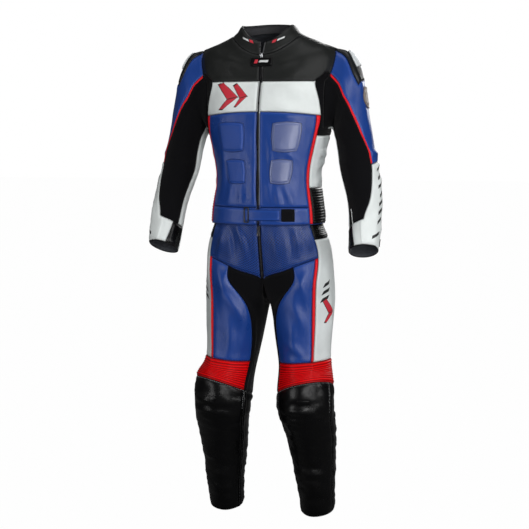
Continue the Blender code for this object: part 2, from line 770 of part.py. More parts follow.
def look(name, colour, roughness, metallic=0.0):
    made = bpy.data.materials.new(name)
    made.use_nodes = True
    shader = made.node_tree.nodes["Principled BSDF"]
    shader.inputs["Base Color"].default_value = (*colour, 1)
    shader.inputs["Roughness"].default_value = roughness
    shader.inputs["Metallic"].default_value = metallic
    return made


for old in list(bpy.data.objects):
    bpy.data.objects.remove(old)
SUIT = bpy.data.collections.new("motorcycle_race_suit")
CUTTERS = bpy.data.collections.new("cutters")
for holder in (SUIT, CUTTERS):
    bpy.context.scene.collection.children.link(holder)

BLUE = look("blue_leather", (0.03, 0.07, 0.32), 0.45)
WHITE = look("white_leather", (0.78, 0.8, 0.79), 0.45)
RED = look("red_leather", (0.72, 0.01, 0.02), 0.5)
BLACK_LEATHER = look("black_leather", (0.02, 0.021, 0.022), 0.4)
BLACK_FABRIC = look("black_stretch", (0.008, 0.008, 0.009), 0.85)
BLACK_PLASTIC = look("black_plastic", (0.012, 0.012, 0.013), 0.35)
WHITE_PLASTIC = look("pale_plastic", (0.7, 0.71, 0.72), 0.35)
GREY_RUBBER = look("grey_rubber", (0.14, 0.13, 0.12), 0.5)
STEEL = look("dark_steel", (0.09, 0.09, 0.1), 0.35, 1.0)

# The start of each piece's name, its material and its wall.
PIECES = [
    ("collar", BLACK_LEATHER, 3.0),
    ("yoke", BLACK_LEATHER, LEATHER),
    ("chest", WHITE, LEATHER),
    ("body", BLUE, LEATHER),
    ("band", BLUE, LEATHER),
    ("side_stripe", RED, LEATHER),
    ("side_white", WHITE, LEATHER),
    ("side_pleats", BLACK_FABRIC, STRETCH),
    ("underarm", BLACK_FABRIC, STRETCH),
    ("back", BLUE, LEATHER),
    ("sleeve_stretch", BLACK_FABRIC, STRETCH),
    ("sleeve_blue", BLUE, LEATHER),
    ("sleeve_cap", BLACK_PLASTIC, LEATHER),
    ("sleeve_white", WHITE, LEATHER),
    ("sleeve_strip", BLACK_LEATHER, LEATHER),
    ("hip_yoke", BLUE, LEATHER),
    ("hip_pleats", BLACK_FABRIC, STRETCH),
    ("fly_zip", BLACK_FABRIC, STRETCH),
    ("gusset", BLACK_FABRIC, STRETCH),
    ("thigh", BLUE, LEATHER),
    ("leg_stripe", RED, LEATHER),
    ("leg_side", WHITE, LEATHER),
    ("knee", RED, LEATHER),
    ("shin", BLACK_LEATHER, LEATHER),
    ("calf", BLACK_LEATHER, LEATHER),
    ("seat", BLUE, LEATHER),
]


def make_walls(cage):
    normals = cage.normals()
    points = cage.points
    made = {}
    for piece in sorted({piece for piece, _ in cage.cells}):
        _, material, wall = next(row for row in PIECES if piece.startswith(row[0]))
        faces = [corners for name, corners in cage.cells if name == piece]
        made[piece] = wall_object(piece, points, normals, faces, wall, material)
    return made, normals


def make_front_zip(cage, torso):
    """The closed zip fills the opening between the two fronts, from the collar's base to the hem."""
    rows = range(NECK, len(TORSO))
    points, faces = [], []
    for row in rows:
        for side in (-1, 1):
            points.append(cage.points[torso[side, row, 0]] + np.array([0.0, 0.4, 0.0]))
    normals = [np.array([0.0, -1.0, 0.0])] * len(points)
    for step in range(len(rows) - 1):
        first = 2 * step
        faces.append((first, first + 2, first + 3, first + 1))
    wall_object("front_zip", points, normals, faces, STRETCH, BLACK_FABRIC)


jacket = Cage()
torso = build_torso(jacket)
sleeves = {side: build_sleeve(jacket, torso, side, hand) for side, hand in HANDS}
_, jacket_normals = make_walls(jacket)
make_front_zip(jacket, torso)
front = {}
for side, _ in HANDS:
    grid = [[torso[side, row, column] for column in range(ARM_FRONT)] for row in range(len(TORSO))]
    front[side] = Surface(jacket, jacket_normals, grid, side)
make_pads(front)
make_strap(front)
sleeve = Surface(jacket, jacket_normals, [row + row[:1] for row in sleeves[1]])
for side, hand in HANDS:
    make_piping(sleeve, side, hand)
    make_cap_insert(sleeve, side, hand)
make_badge(sleeve)

trousers = Cage()
hips, legs = build_trousers(trousers)
trouser_walls, _ = make_walls(trousers)
fly_y = (trousers.points[hips[1, 1, 0]][1] + 0.4) * MM
make_fly_pull(make_fly_slider(trouser_walls["fly_zip"], fly_y))
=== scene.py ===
# %% [markdown]
# # A two-piece motorcycle race suit
# The real thing is a leather jacket and leather trousers, cut from about fifty panels and sewn edge to edge.
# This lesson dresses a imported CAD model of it. The CAD panels stay as the collision shape, and each one is
# replaced by a smooth, wrinkled and stitched panel that lies in the same place.

# %% Load the frame and keep its box
import math
from collections import namedtuple

import bmesh
import bpy
import numpy as np
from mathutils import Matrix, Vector, kdtree, noise
from mathutils.bvhtree import BVHTree


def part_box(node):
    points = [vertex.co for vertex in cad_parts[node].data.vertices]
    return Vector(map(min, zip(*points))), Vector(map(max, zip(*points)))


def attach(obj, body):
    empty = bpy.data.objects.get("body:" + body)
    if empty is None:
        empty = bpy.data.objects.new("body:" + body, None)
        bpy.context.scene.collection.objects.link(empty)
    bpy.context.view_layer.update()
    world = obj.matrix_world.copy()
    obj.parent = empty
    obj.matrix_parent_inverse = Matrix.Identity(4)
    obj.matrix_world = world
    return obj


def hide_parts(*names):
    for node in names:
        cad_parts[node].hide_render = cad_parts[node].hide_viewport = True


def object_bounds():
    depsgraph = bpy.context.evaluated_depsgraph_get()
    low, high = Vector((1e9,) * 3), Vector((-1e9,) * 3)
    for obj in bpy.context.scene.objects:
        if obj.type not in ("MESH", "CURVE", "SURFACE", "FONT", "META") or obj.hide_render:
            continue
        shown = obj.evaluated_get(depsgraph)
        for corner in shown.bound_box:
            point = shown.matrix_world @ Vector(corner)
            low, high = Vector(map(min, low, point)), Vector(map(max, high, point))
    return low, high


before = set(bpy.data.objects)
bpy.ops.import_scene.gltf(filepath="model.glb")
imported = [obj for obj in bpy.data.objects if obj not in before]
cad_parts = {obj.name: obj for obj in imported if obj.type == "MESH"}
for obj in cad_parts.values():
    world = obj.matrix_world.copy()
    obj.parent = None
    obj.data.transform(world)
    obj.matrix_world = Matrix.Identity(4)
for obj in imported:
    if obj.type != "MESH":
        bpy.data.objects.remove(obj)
cad_low, cad_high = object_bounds()
MM = 0.001
print("frame:", len(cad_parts), "nodes, box", [round(v, 3) for v in (*cad_low, *cad_high)])

# %% [markdown]
# ## Camera
# The suit stands upright and turned a little, so its left side shows. A long lens from four metres keeps the
# proportions of the panels true, and the camera sits slightly above the middle of the suit and looks down.

# %% Camera
TURN, RISE, DISTANCE = math.radians(15.92), math.radians(5.5), 4.0
AIM = Vector((-0.0125, -0.0036, -0.6645))
bpy.ops.object.select_all(action="DESELECT")
bpy.ops.object.camera_add()
camera = bpy.context.active_object
back = Vector((math.sin(TURN) * math.cos(RISE), -math.cos(TURN) * math.cos(RISE), math.sin(RISE)))
camera.location = AIM + back * DISTANCE
camera.rotation_euler = (-back).to_track_quat("-Z", "Y").to_euler()
camera.data.lens, camera.data.sensor_width = 91.3, 36.0
bpy.context.scene.camera = camera
print("camera at", [round(v, 3) for v in camera.location])

# %% [markdown]
# ## Studio
# A pale floor, a white surround and large soft lights. Leather is a dark gloss over colour, so what shows its
# folds is the shape of the lights in it. Two tall soft boxes in front give long soft streaks down the panels.

# %% Studio
scene = bpy.context.scene
scene.view_settings.view_transform = "Standard"
bpy.ops.mesh.primitive_plane_add(size=60, location=(0, 0, cad_low.z - 0.004))
floor = bpy.context.active_object
floor.name = "floor"
floor_look = bpy.data.materials.new("floor")
floor_look.use_nodes = True
floor_tree = floor_look.node_tree
floor_tree.nodes["Principled BSDF"].inputs["Base Color"].default_value = (0.12, 0.12, 0.12, 1)
floor_tree.nodes["Principled BSDF"].inputs["Roughness"].default_value = 0.9
glow = floor_tree.nodes.new("ShaderNodeEmission")
glow.inputs["Color"].default_value = (1, 1, 1, 1)
floor_path = floor_tree.nodes.new("ShaderNodeLightPath")
floor_share = floor_tree.nodes.new("ShaderNodeMath")
floor_share.operation = "MULTIPLY"
floor_share.inputs[1].default_value = 0.99
floor_mix = floor_tree.nodes.new("ShaderNodeMixShader")
floor_tree.links.new(floor_path.outputs["Is Camera Ray"], floor_share.inputs[0])
floor_tree.links.new(floor_share.outputs[0], floor_mix.inputs[0])
floor_tree.links.new(floor_tree.nodes["Principled BSDF"].outputs[0], floor_mix.inputs[1])
floor_tree.links.new(glow.outputs[0], floor_mix.inputs[2])
floor_tree.links.new(floor_mix.outputs[0], floor_tree.nodes["Material Output"].inputs["Surface"])
floor.data.materials.append(floor_look)

world = bpy.data.worlds.new("studio")
scene.world = world
world.use_nodes = True
tree = world.node_tree
surround = tree.nodes["Background"]
surround.inputs["Color"].default_value = (1, 1, 1, 1)
surround.inputs["Strength"].default_value = 0.095
seen = tree.nodes.new("ShaderNodeBackground")
seen.inputs["Color"].default_value = (1, 1, 1, 1)
seen.inputs["Strength"].default_value = 1.0
path = tree.nodes.new("ShaderNodeLightPath")
choose = tree.nodes.new("ShaderNodeMixShader")
tree.links.new(path.outputs["Is Camera Ray"], choose.inputs[0])
tree.links.new(surround.outputs[0], choose.inputs[1])
tree.links.new(seen.outputs[0], choose.inputs[2])
tree.links.new(choose.outputs[0], tree.nodes["World Output"].inputs["Surface"])

# A soft box: where it stands, its width and height, and its power in watts.
SoftBox = namedtuple("SoftBox", "name x y z width height power")
SOFT_BOXES = [
    SoftBox("key", 1.7, -2.3, 0.5, 0.5, 1.7, 28),
    SoftBox("side", 2.6, -0.9, 0.0, 0.7, 1.8, 23),
    SoftBox("fill", -2.1, -2.3, 0.0, 0.45, 1.8, 13),
    SoftBox("front", 1.2, -2.8, -0.5, 0.8, 0.7, 17),
    SoftBox("low", -1.5, -2.3, -1.0, 0.45, 0.9, 8),
    SoftBox("low_side", 1.9, -2.0, -1.05, 0.35, 0.8, 7),
    SoftBox("top", 0.1, -0.6, 2.0, 1.8, 1.2, 18),
    SoftBox("rear", 0.3, 2.6, 0.6, 1.8, 1.4, 34),
]
for row in SOFT_BOXES:
    bpy.ops.object.light_add(type="AREA", location=(row.x, row.y, row.z))
    light = bpy.context.active_object
    light.name = "soft_box_" + row.name
    light.data.shape, light.data.size, light.data.size_y = "RECTANGLE", row.width, row.height
    light.data.energy = row.power
    towards = Vector((0, 0, -0.65)) - light.location
    light.rotation_euler = towards.to_track_quat("-Z", "Y").to_euler()
print("studio:", len(SOFT_BOXES), "soft boxes")

# %% [markdown]
# ## Shared surface effects
# Grain, knit and punched holes turn up on several materials, so each is a node group, built once. A group only
# puts out values: each material decides what they do to its colour, gloss and bump.

# %% Node helpers
def add_node(tree, kind, values=None, **settings):
    made = tree.nodes.new(kind)
    for key, value in settings.items():
        setattr(made, key, value)
    for key, value in (values or {}).items():
        made.inputs[key].default_value = value
    return made


def new_group(name, inputs, outputs):
    """A shader group with float sockets, and its input and output nodes."""
    tree = bpy.data.node_groups.new(name, "ShaderNodeTree")
    for label, value in inputs.items():
        tree.interface.new_socket(label, in_out="INPUT", socket_type="NodeSocketFloat").default_value = value
    for label in outputs:
        tree.interface.new_socket(label, in_out="OUTPUT", socket_type="NodeSocketFloat")
    return tree, tree.nodes.new("NodeGroupInput"), tree.nodes.new("NodeGroupOutput")


def maths(tree, operation, first, second=None, clamp=False):
    """A Math node on links or plain numbers. It returns the result's socket."""
    made = tree.nodes.new("ShaderNodeMath")
    made.operation, made.use_clamp = operation, clamp
    for socket, value in zip(made.inputs, (first, second)):
        if value is None:
            continue
        if isinstance(value, (int, float)):
            socket.default_value = value
        else:
            tree.links.new(value, socket)
    return made.outputs[0]


# %% Leather grain
grain, grain_in, grain_out = new_group("Leather grain", {"Scale": 1.0}, ["Height", "Mottle"])
place = add_node(grain, "ShaderNodeTexCoord")
cells = add_node(grain, "ShaderNodeTexVoronoi", {"Randomness": 0.9}, feature="DISTANCE_TO_EDGE")
wander = add_node(grain, "ShaderNodeTexNoise", {"Detail": 3.0, "Roughness": 0.6})
patchy = add_node(grain, "ShaderNodeTexNoise", {"Scale": 16.0, "Detail": 4.0, "Roughness": 0.55})
for texture in (cells, wander, patchy):
    grain.links.new(place.outputs["Object"], texture.inputs["Vector"])
grain.links.new(maths(grain, "MULTIPLY", grain_in.outputs["Scale"], 620.0), cells.inputs["Scale"])
grain.links.new(maths(grain, "MULTIPLY", grain_in.outputs["Scale"], 240.0), wander.inputs["Scale"])
pebble = maths(grain, "MULTIPLY", cells.outputs["Distance"], 2.2, clamp=True)
height = maths(
    grain, "ADD", maths(grain, "MULTIPLY", pebble, 0.6), maths(grain, "MULTIPLY", wander.outputs["Fac"], 0.5)
)
grain.links.new(height, grain_out.inputs["Height"])
grain.links.new(patchy.outputs["Fac"], grain_out.inputs["Mottle"])

# %% Seam edge
# Each panel carries its distance from the nearest seam, in metres, as an attribute named seam.
# The first output is painted shade, darker where the leather rolls into a seam or a rib's valley. The second is a
# paler band beside it, partly rubbed wear and partly a painted highlight on rib crests.
edge, edge_in, edge_out = new_group("Seam edge", {"Width": 0.0035}, ["Groove", "Ridge"])
carried = add_node(edge, "ShaderNodeAttribute", attribute_name="seam")
near = maths(edge, "DIVIDE", carried.outputs["Fac"], edge_in.outputs["Width"])
edge.links.new(maths(edge, "SUBTRACT", 1.0, near, clamp=True), edge_out.inputs["Groove"])
away = maths(edge, "ABSOLUTE", maths(edge, "SUBTRACT", near, 1.6))
edge.links.new(maths(edge, "SUBTRACT", 1.0, away, clamp=True), edge_out.inputs["Ridge"])

# %% Punched holes and dots
# The pattern lies on the panel's own UV map, which is in metres, so the rows follow the cloth round the body.
dots, dots_in, dots_out = new_group("Punched dots", {"Pitch": 0.004, "Radius": 0.22}, ["Mask"])
on_cloth = add_node(dots, "ShaderNodeTexCoord")
masks = []
for shift in (0.0, 0.5):
    scaled = add_node(dots, "ShaderNodeVectorMath", operation="SCALE")
    dots.links.new(on_cloth.outputs["UV"], scaled.inputs[0])
    dots.links.new(maths(dots, "DIVIDE", 1.0, dots_in.outputs["Pitch"]), scaled.inputs["Scale"])
    moved = add_node(dots, "ShaderNodeVectorMath", operation="ADD")
    moved.inputs[1].default_value = (shift, shift, 0)
    dots.links.new(scaled.outputs[0], moved.inputs[0])
    part = add_node(dots, "ShaderNodeVectorMath", operation="FRACTION")
    dots.links.new(moved.outputs[0], part.inputs[0])
    centred = add_node(dots, "ShaderNodeVectorMath", operation="DISTANCE")
    centred.inputs[1].default_value = (0.5, 0.5, 0)
    flat = add_node(dots, "ShaderNodeVectorMath", operation="MULTIPLY")
    flat.inputs[1].default_value = (1, 1, 0)
    dots.links.new(part.outputs[0], flat.inputs[0])
    dots.links.new(flat.outputs[0], centred.inputs[0])
    masks.append(maths(dots, "LESS_THAN", centred.outputs["Value"], dots_in.outputs["Radius"]))
dots.links.new(maths(dots, "MAXIMUM", masks[0], masks[1]), dots_out.inputs["Mask"])

# %% Knit
knit, knit_in, knit_out = new_group("Knit", {"Pitch": 0.0016}, ["Height"])
on_cloth = add_node(knit, "ShaderNodeTexCoord")
apart = add_node(knit, "ShaderNodeSeparateXYZ")
knit.links.new(on_cloth.outputs["UV"], apart.inputs[0])
turns = maths(knit, "DIVIDE", 2 * math.pi, knit_in.outputs["Pitch"])
across = maths(knit, "SINE", maths(knit, "MULTIPLY", apart.outputs["X"], turns))
down = maths(knit, "SINE", maths(knit, "MULTIPLY", apart.outputs["Y"], turns))
knit.links.new(
    maths(knit, "ADD", maths(knit, "MULTIPLY", across, 0.5), maths(knit, "MULTIPLY", down, 0.35)),
    knit_out.inputs["Height"]
)
print("groups:", [g.name for g in bpy.data.node_groups])

# %% [markdown]
# ## Materials
# Leather is a coloured finish with a soft gloss and a little patchy. It has painted shade where it rolls into a
# seam, and it is paler on the ridge beside it, partly rubbed wear and partly a painted highlight along rib crests.
# Stretch cloth is matt and knitted. The two are functions, so that every colour of leather is made the same way,
# and only its numbers differ.

# %% Leather and cloth
def start_material(name, colour, roughness):
    made = bpy.data.materials.new(name)
    made.use_nodes = True
    tree = made.node_tree
    shader = tree.nodes["Principled BSDF"]
    shader.inputs["Roughness"].default_value = roughness
    shader.inputs["Base Color"].default_value = (*colour, 1)
    return made, tree, shader


def in_group(tree, group, **values):
    made = tree.nodes.new("ShaderNodeGroup")
    made.node_tree = group
    for key, value in values.items():
        made.inputs[key].default_value = value
    return made


def blend_colour(tree, factor, first, second):
    made = tree.nodes.new("ShaderNodeMix")
    made.data_type = "RGBA"
    for socket, value in ((made.inputs[0], factor), (made.inputs[6], first), (made.inputs[7], second)):
        if isinstance(value, tuple):
            socket.default_value = (*value, 1)
        elif isinstance(value, float):
            socket.default_value = value
        else:
            tree.links.new(value, socket)
    return made.outputs[2]


def times(colour, share):
    return tuple(min(1.0, c * share) for c in colour)


def raise_bump(tree, shader, height, strength, distance):
    bump = tree.nodes.new("ShaderNodeBump")
    bump.inputs["Strength"].default_value = strength
    bump.inputs["Distance"].default_value = distance
    tree.links.new(height, bump.inputs["Height"])
    tree.links.new(bump.outputs[0], shader.inputs["Normal"])


def leather(
    name, colour, roughness, scale=1.0, depth=0.35, coat=0.0, ridge_wear_and_sheen=1.25, punched=None, specular=0.5,
    seam_shade=0.4
):
    made, tree, shader = start_material(name, colour, roughness)
    skin = in_group(tree, grain, Scale=scale)
    rim = in_group(tree, edge)
    patchy = blend_colour(tree, skin.outputs["Mottle"], times(colour, 0.82), times(colour, 1.16))
    # paler on the ridge beside a seam, which is rubbed wear, and on the crests of ribs, which is a painted
    # highlight
    ridged = blend_colour(
        tree, maths(tree, "MULTIPLY", rim.outputs["Ridge"], 0.35), patchy, times(colour, ridge_wear_and_sheen)
    )
    # painted shade: the colour darkens towards seams and rib valleys
    seam_shaded = blend_colour(
        tree, maths(tree, "MULTIPLY", rim.outputs["Groove"], 0.9), ridged, times(colour, seam_shade)
    )
    height = skin.outputs["Height"]
    if punched:
        holes = in_group(tree, dots, Pitch=punched, Radius=0.24)
        seam_shaded = blend_colour(
            tree, maths(tree, "MULTIPLY", holes.outputs["Mask"], 1.0), seam_shaded, times(colour, 0.2)
        )
        height = maths(tree, "SUBTRACT", height, holes.outputs["Mask"])
    tree.links.new(seam_shaded, shader.inputs["Base Color"])
    gloss = maths(tree, "ADD", maths(tree, "MULTIPLY", skin.outputs["Mottle"], 0.22), roughness - 0.11)
    tree.links.new(gloss, shader.inputs["Roughness"])
    shader.inputs["Coat Weight"].default_value = coat
    shader.inputs["Coat Roughness"].default_value = 0.34
    shader.inputs["Specular IOR Level"].default_value = specular
    raise_bump(tree, shader, height, depth, 0.0005)
    return made


def stretch_cloth(name, colour, pitch=0.0016, sheen=0.05):
    made, tree, shader = start_material(name, colour, 0.92)
    loops = in_group(tree, knit, Pitch=pitch)
    rim = in_group(tree, edge)
    # paler on the ridge beside a seam, which is rubbed wear, and on rib crests, which is a painted highlight
    worn_and_sheen = blend_colour(tree, maths(tree, "MULTIPLY", rim.outputs["Ridge"], 0.3), colour, times(colour, 1.7))
    tree.links.new(worn_and_sheen, shader.inputs["Base Color"])
    shader.inputs["Sheen Weight"].default_value = sheen
    shader.inputs["Sheen Roughness"].default_value = 0.5
    shader.inputs["Specular IOR Level"].default_value = 0.08
    raise_bump(tree, shader, loops.outputs["Height"], 0.5, 0.0003)
    return made


def lining_cloth(name, ground, dot, pitch):
    """A mesh lining: small pale dots of thread on a dark ground."""
    made, tree, shader = start_material(name, ground, 0.7)
    spots = in_group(tree, dots, Pitch=pitch, Radius=0.24)
    tree.links.new(blend_colour(tree, spots.outputs["Mask"], ground, dot), shader.inputs["Base Color"])
    raise_bump(tree, shader, spots.outputs["Mask"], 0.6, 0.0004)
    return made


def moulded(name, colour, roughness, metallic=0.0, scale=60.0):
    """Moulded plastic, rubber or cast metal, with a faint uneven gloss."""
    made, tree, shader = start_material(name, colour, roughness)
    uneven = add_node(tree, "ShaderNodeTexNoise", {"Scale": scale, "Detail": 5.0})
    spot = add_node(tree, "ShaderNodeTexCoord")
    tree.links.new(spot.outputs["Object"], uneven.inputs["Vector"])
    tree.links.new(
        blend_colour(tree, uneven.outputs["Fac"], times(colour, 0.85), times(colour, 1.15)),
        shader.inputs["Base Color"]
    )
    tree.links.new(
        maths(tree, "ADD", maths(tree, "MULTIPLY", uneven.outputs["Fac"], 0.2), roughness - 0.1),
        shader.inputs["Roughness"]
    )
    shader.inputs["Metallic"].default_value = metallic
    raise_bump(tree, shader, uneven.outputs["Fac"], 0.2, 0.0002)
    return made


# %% The finishes of the suit
BLUE = (0.008, 0.044, 0.235)
LOOKS = {
    "blue": leather("blue_leather", BLUE, 0.31, ridge_wear_and_sheen=1.6, specular=0.36),
    "blue_punched": leather("blue_punched_leather", BLUE, 0.33, ridge_wear_and_sheen=1.6, punched=0.0085, specular=0.4),
    "blue_pad": leather(
        "blue_pad_leather", times(BLUE, 1.1), 0.4, scale=1.3, depth=0.5, ridge_wear_and_sheen=1.5, specular=0.35
    ),
    # a paler copy of the pad blue for the left pads only: a painted sheen where a front soft box would reflect
    "blue_pad_painted_sheen": leather(
        "blue_pad_leather_painted_sheen", (0.07, 0.10, 0.26), 0.36, scale=1.3, depth=0.4, coat=1.0, ridge_wear_and_sheen=1.3
    ),
    # a pale copy of the blue for the left edge of the front opening: a painted highlight along the fold of the zip
    # flap
    "rolled": leather("rolled_edge_painted_highlight", (0.16, 0.19, 0.27), 0.4, depth=0.2),
    "white": leather("white_leather", (0.72, 0.76, 0.75), 0.42, depth=0.25, ridge_wear_and_sheen=1.1, specular=0.3),
    "white_side": leather(
        "white_side_leather", (0.66, 0.70, 0.70), 0.45, depth=0.25, ridge_wear_and_sheen=1.1, specular=0.3
    ),
    "red": leather("red_leather", (0.72, 0.008, 0.016), 0.42, depth=0.25, ridge_wear_and_sheen=1.1, specular=0.15),
    # the ribs' valleys get a deep painted shade, so the pleats read as dark lines
    "red_pleat": leather(
        "red_pleated_leather", (0.68, 0.001, 0.003), 0.38, depth=0.2, ridge_wear_and_sheen=1.1, specular=0.12, seam_shade=0.12
    ),
    "charcoal": leather(
        "charcoal_leather", (0.010, 0.011, 0.0105), 0.44, depth=0.4, ridge_wear_and_sheen=1.6, specular=0.2
    ),
    "black": leather("black_leather", (0.001, 0.001, 0.0013), 0.29, depth=0.2, ridge_wear_and_sheen=1.4, specular=0.26),
    # the crests of the black ribs carry a pale painted highlight
    "black_pleat": leather(
        "black_pleated_leather", (0.001, 0.001, 0.0013), 0.3, depth=0.2, ridge_wear_and_sheen=1.6, specular=0.18
    ),
    "stretch": stretch_cloth("black_stretch", (0.0028, 0.0028, 0.0036)),
    "tape": stretch_cloth("zip_tape", (0.008, 0.008, 0.009), pitch=0.0009, sheen=0.03),
    "hook": stretch_cloth("hook_fabric", (0.004, 0.004, 0.005), pitch=0.0012, sheen=0.06),
    "lining": lining_cloth("mesh_lining", (0.012, 0.013, 0.016), (0.09, 0.10, 0.12), 0.0042),
    "collar_lining": lining_cloth("collar_lining", (0.05, 0.05, 0.055), (0.10, 0.10, 0.11), 0.003),
    "cap": leather("cap_leather", (0.006, 0.007, 0.008), 0.32, depth=0.3, ridge_wear_and_sheen=1.6, specular=0.3),
    "pale_plastic": moulded("pale_plastic", (0.60, 0.63, 0.64), 0.35),
    "black_plastic": moulded("black_plastic", (0.006, 0.006, 0.007), 0.3),
    "steel": moulded("bright_steel", (0.55, 0.56, 0.58), 0.28, metallic=1.0, scale=200.0),
    "dark_steel": moulded("dark_steel", (0.10, 0.10, 0.11), 0.32, metallic=1.0, scale=200.0),
    "rubber": moulded("badge_rubber", (0.16, 0.12, 0.10), 0.45),
    "ink": moulded("black_ink", (0.006, 0.006, 0.007), 0.5),
    "red_ink": moulded("red_ink", (0.52, 0.018, 0.035), 0.45),
    "white_thread": moulded("white_thread", (0.62, 0.64, 0.64), 0.7),
    "blue_thread": moulded("blue_thread", (0.05, 0.09, 0.34), 0.7),
    "black_thread": moulded("black_thread", (0.02, 0.02, 0.022), 0.7),
    "pale_thread": moulded("pale_thread", (0.30, 0.30, 0.31), 0.7),
    "red_thread": moulded("red_thread", (0.42, 0.01, 0.012), 0.7),
}
print("materials:", len(LOOKS))


# %% [markdown]
# ## Pattern tables
# Every garment is a coarse cage of rings, the same one that the CAD panels were cut from. A ring gives the
# width, depth and height of the body there, and the seams are named columns of the cage. Millimetres and degrees.

# %% Rings and seams of the jacket
ZIP_HALF, COLLAR_TOP_HALF, FLY_HALF, SEAT_HALF, ROUNDNESS = 4.0, 7.0, 3.2, 9.0, 0.8
# A torso ring: heights and depths at the front, side and back, and the half width.
Ring = namedtuple("Ring", "name z_front z_side z_back half_width y_front y_side y_back")
TORSO = [
    Ring("collar_top", -12, 40, 46, 77, -66, -2, 58),
    Ring("collar_mid", -32, 22, 34, 90, -73, 2, 64),
    Ring("neck", -50, 10, 22, 105, -78, 5, 70),
    Ring("trapezius", -64, -10, -8, 152, -80, 20, 92),
    Ring("shoulder", -80, -34, -48, 205, -84, 26, 108),
    Ring("stretch_top", -100, -106, -102, 206, -86, 18, 120),
    Ring("yoke_seam", -126, -125, -128, 195, -92, 14, 128),
    Ring("mid_chest", -170, -170, -170, 190, -106, 11, 132),
    Ring("chest_seam", -213, -226, -216, 187, -115, 10, 131),
    Ring("armpit", -252, -262, -255, 184, -117, 10, 127),
    Ring("underarm", -278, -282, -280, 179, -118, 10, 124),
    Ring("ribs", -328, -330, -330, 167, -119, 10, 118),
    Ring("waist", -380, -382, -380, 156, -119, 10, 113),
    Ring("pleats_top", -431, -433, -431, 156, -119, 6, 110),
    Ring("band_top", -489, -487, -487, 165, -118, -1, 110),
    Ring("hem", -540, -537, -537, 169, -117, -4, 110),
]
NECK, YOKE_SEAM, CHEST_SEAM, ARMPIT, UNDERARM, PLEATS_TOP, BAND_TOP = 2, 6, 8, 9, 10, 13, 14
SHOULDER, STRETCH_TOP = 4, 5

# Seam columns of the torso, counted from the centre front (0) to the centre back (13), in degrees.
# stripe_front and stripe_back bound the red stripe, and stripe_back is the chest panel's edge higher up.
STRIPE_FRONT, CHEST_EDGE, ARM_FRONT, ARM_BACK, BACK_CENTRE = 4, 5, 6, 10, 13
TorsoSeams = namedtuple("TorsoSeams", "stripe_front chest_edge arm_front arm_back")
SEAMS_BY_RING = {
    "collar_top": TorsoSeams(57, 69, 80, 112),
    "collar_mid": TorsoSeams(57, 69, 80, 112),
    "neck": TorsoSeams(57, 69, 80, 112),
    "trapezius": TorsoSeams(53, 65, 77, 110),
    "shoulder": TorsoSeams(48, 62, 78, 108),
    "stretch_top": TorsoSeams(45, 57, 66, 121),
    "yoke_seam": TorsoSeams(43, 49, 65, 122),
    "mid_chest": TorsoSeams(50, 57, 66, 122),
    "chest_seam": TorsoSeams(56, 64, 69, 121),
}
BODY_SEAMS = TorsoSeams(56, 61.5, 71, 119)
# The jacket hangs a little twisted, so the right stripe lies further round below the chest.
RIGHT_SEAMS_BY_RING = {"armpit": TorsoSeams(59, 65.5, 71, 119), "underarm": TorsoSeams(62, 68, 73, 119)}
RIGHT_BODY_SEAMS = TorsoSeams(65, 70.5, 78, 119)


# %% Rings and seams of a sleeve
# A limb ring: its outermost and innermost points, its centre depth, its half depth, and how much
# higher its front is than its middle.
LimbRing = namedtuple("LimbRing", "name outer_x outer_z inner_x inner_z y depth rise")
SLEEVE = [
    LimbRing("head_top", 240, -37, 191, -266, 21, 63, 0),
    LimbRing("head_middle", 268, -76, 194, -272, 20, 67, 0),
    LimbRing("head_low", 281, -122, 196, -277, 18, 69, 0),
    LimbRing("upper_arm", 293, -190, 199, -286, 12, 69, 2),
    LimbRing("above_elbow", 306, -262, 205, -304, 8, 66, 3),
    LimbRing("elbow_top", 318, -322, 213, -348, 2, 62, 3),
    LimbRing("elbow", 326, -357, 219, -384, -2, 60, -8),
    LimbRing("forearm_top", 338, -412, 233, -430, -12, 57, 4),
    LimbRing("forearm", 347, -474, 248, -486, -29, 53, 9),
    LimbRing("stretch_hem", 349, -520, 256, -552, -51, 49, 18),
    LimbRing("cuff", 347, -604, 260, -616, -79, 46, 22),
]
# Seams of a sleeve, in degrees from its front towards the outer side.
SleeveSeams = namedtuple("SleeveSeams", "strip_front piping cap_front cap_back rear")
SLEEVE_SEAMS = {
    "head_top": SleeveSeams(-45, 9, 55, 130, 225),
    "head_middle": SleeveSeams(-46, 5, 46, 132, 225),
    "head_low": SleeveSeams(-46, 11, 56, 130, 225),
    "upper_arm": SleeveSeams(-46, 22, 60, 130, 225),
    "above_elbow": SleeveSeams(-46, 36, 66, 130, 225),
    "elbow_top": SleeveSeams(-46, 54, 78, 130, 225),
    "elbow": SleeveSeams(-46, 57, 80, 130, 225),
    "forearm_top": SleeveSeams(-46, 44, 72, 130, 225),
    "forearm": SleeveSeams(-46, 26, 60, 130, 225),
    "stretch_hem": SleeveSeams(-45, 5, 46, 130, 228),
    "cuff": SleeveSeams(-27, 14, 50, 132, 236),
}
STRIP_FRONT, PIPING, CAP_FRONT, CAP_BACK, BLUE_REAR, REAR, STRIP_REAR, STRETCH_REAR = 0, 4, 5, 9, 11, 14, 15, 17
SLEEVE_COLUMNS = 18
HEAD_LOW_ROW, ELBOW_ROW, STRETCH_HEM_ROW = 3, 7, 10


# %% Rings and seams of the trousers
# A hip ring: as a torso ring, with how far the centre front is drawn in.
HipRing = namedtuple("HipRing", "name z_front z_side z_back half_width y_front y_side y_back cleft")
HIPS = [
    HipRing("waist", -503, -503, -503, 156, -109, -3, 100, 0),
    HipRing("under_hem", -543, -541, -541, 161, -109, -4, 102, 2),
    HipRing("hip", -602, -580, -590, 176, -108, 0, 112, 10),
    HipRing("v_seam", -701, -628, -694, 187, -100, 6, 122, 30),
]
CLEFT_WIDTH = 45.0
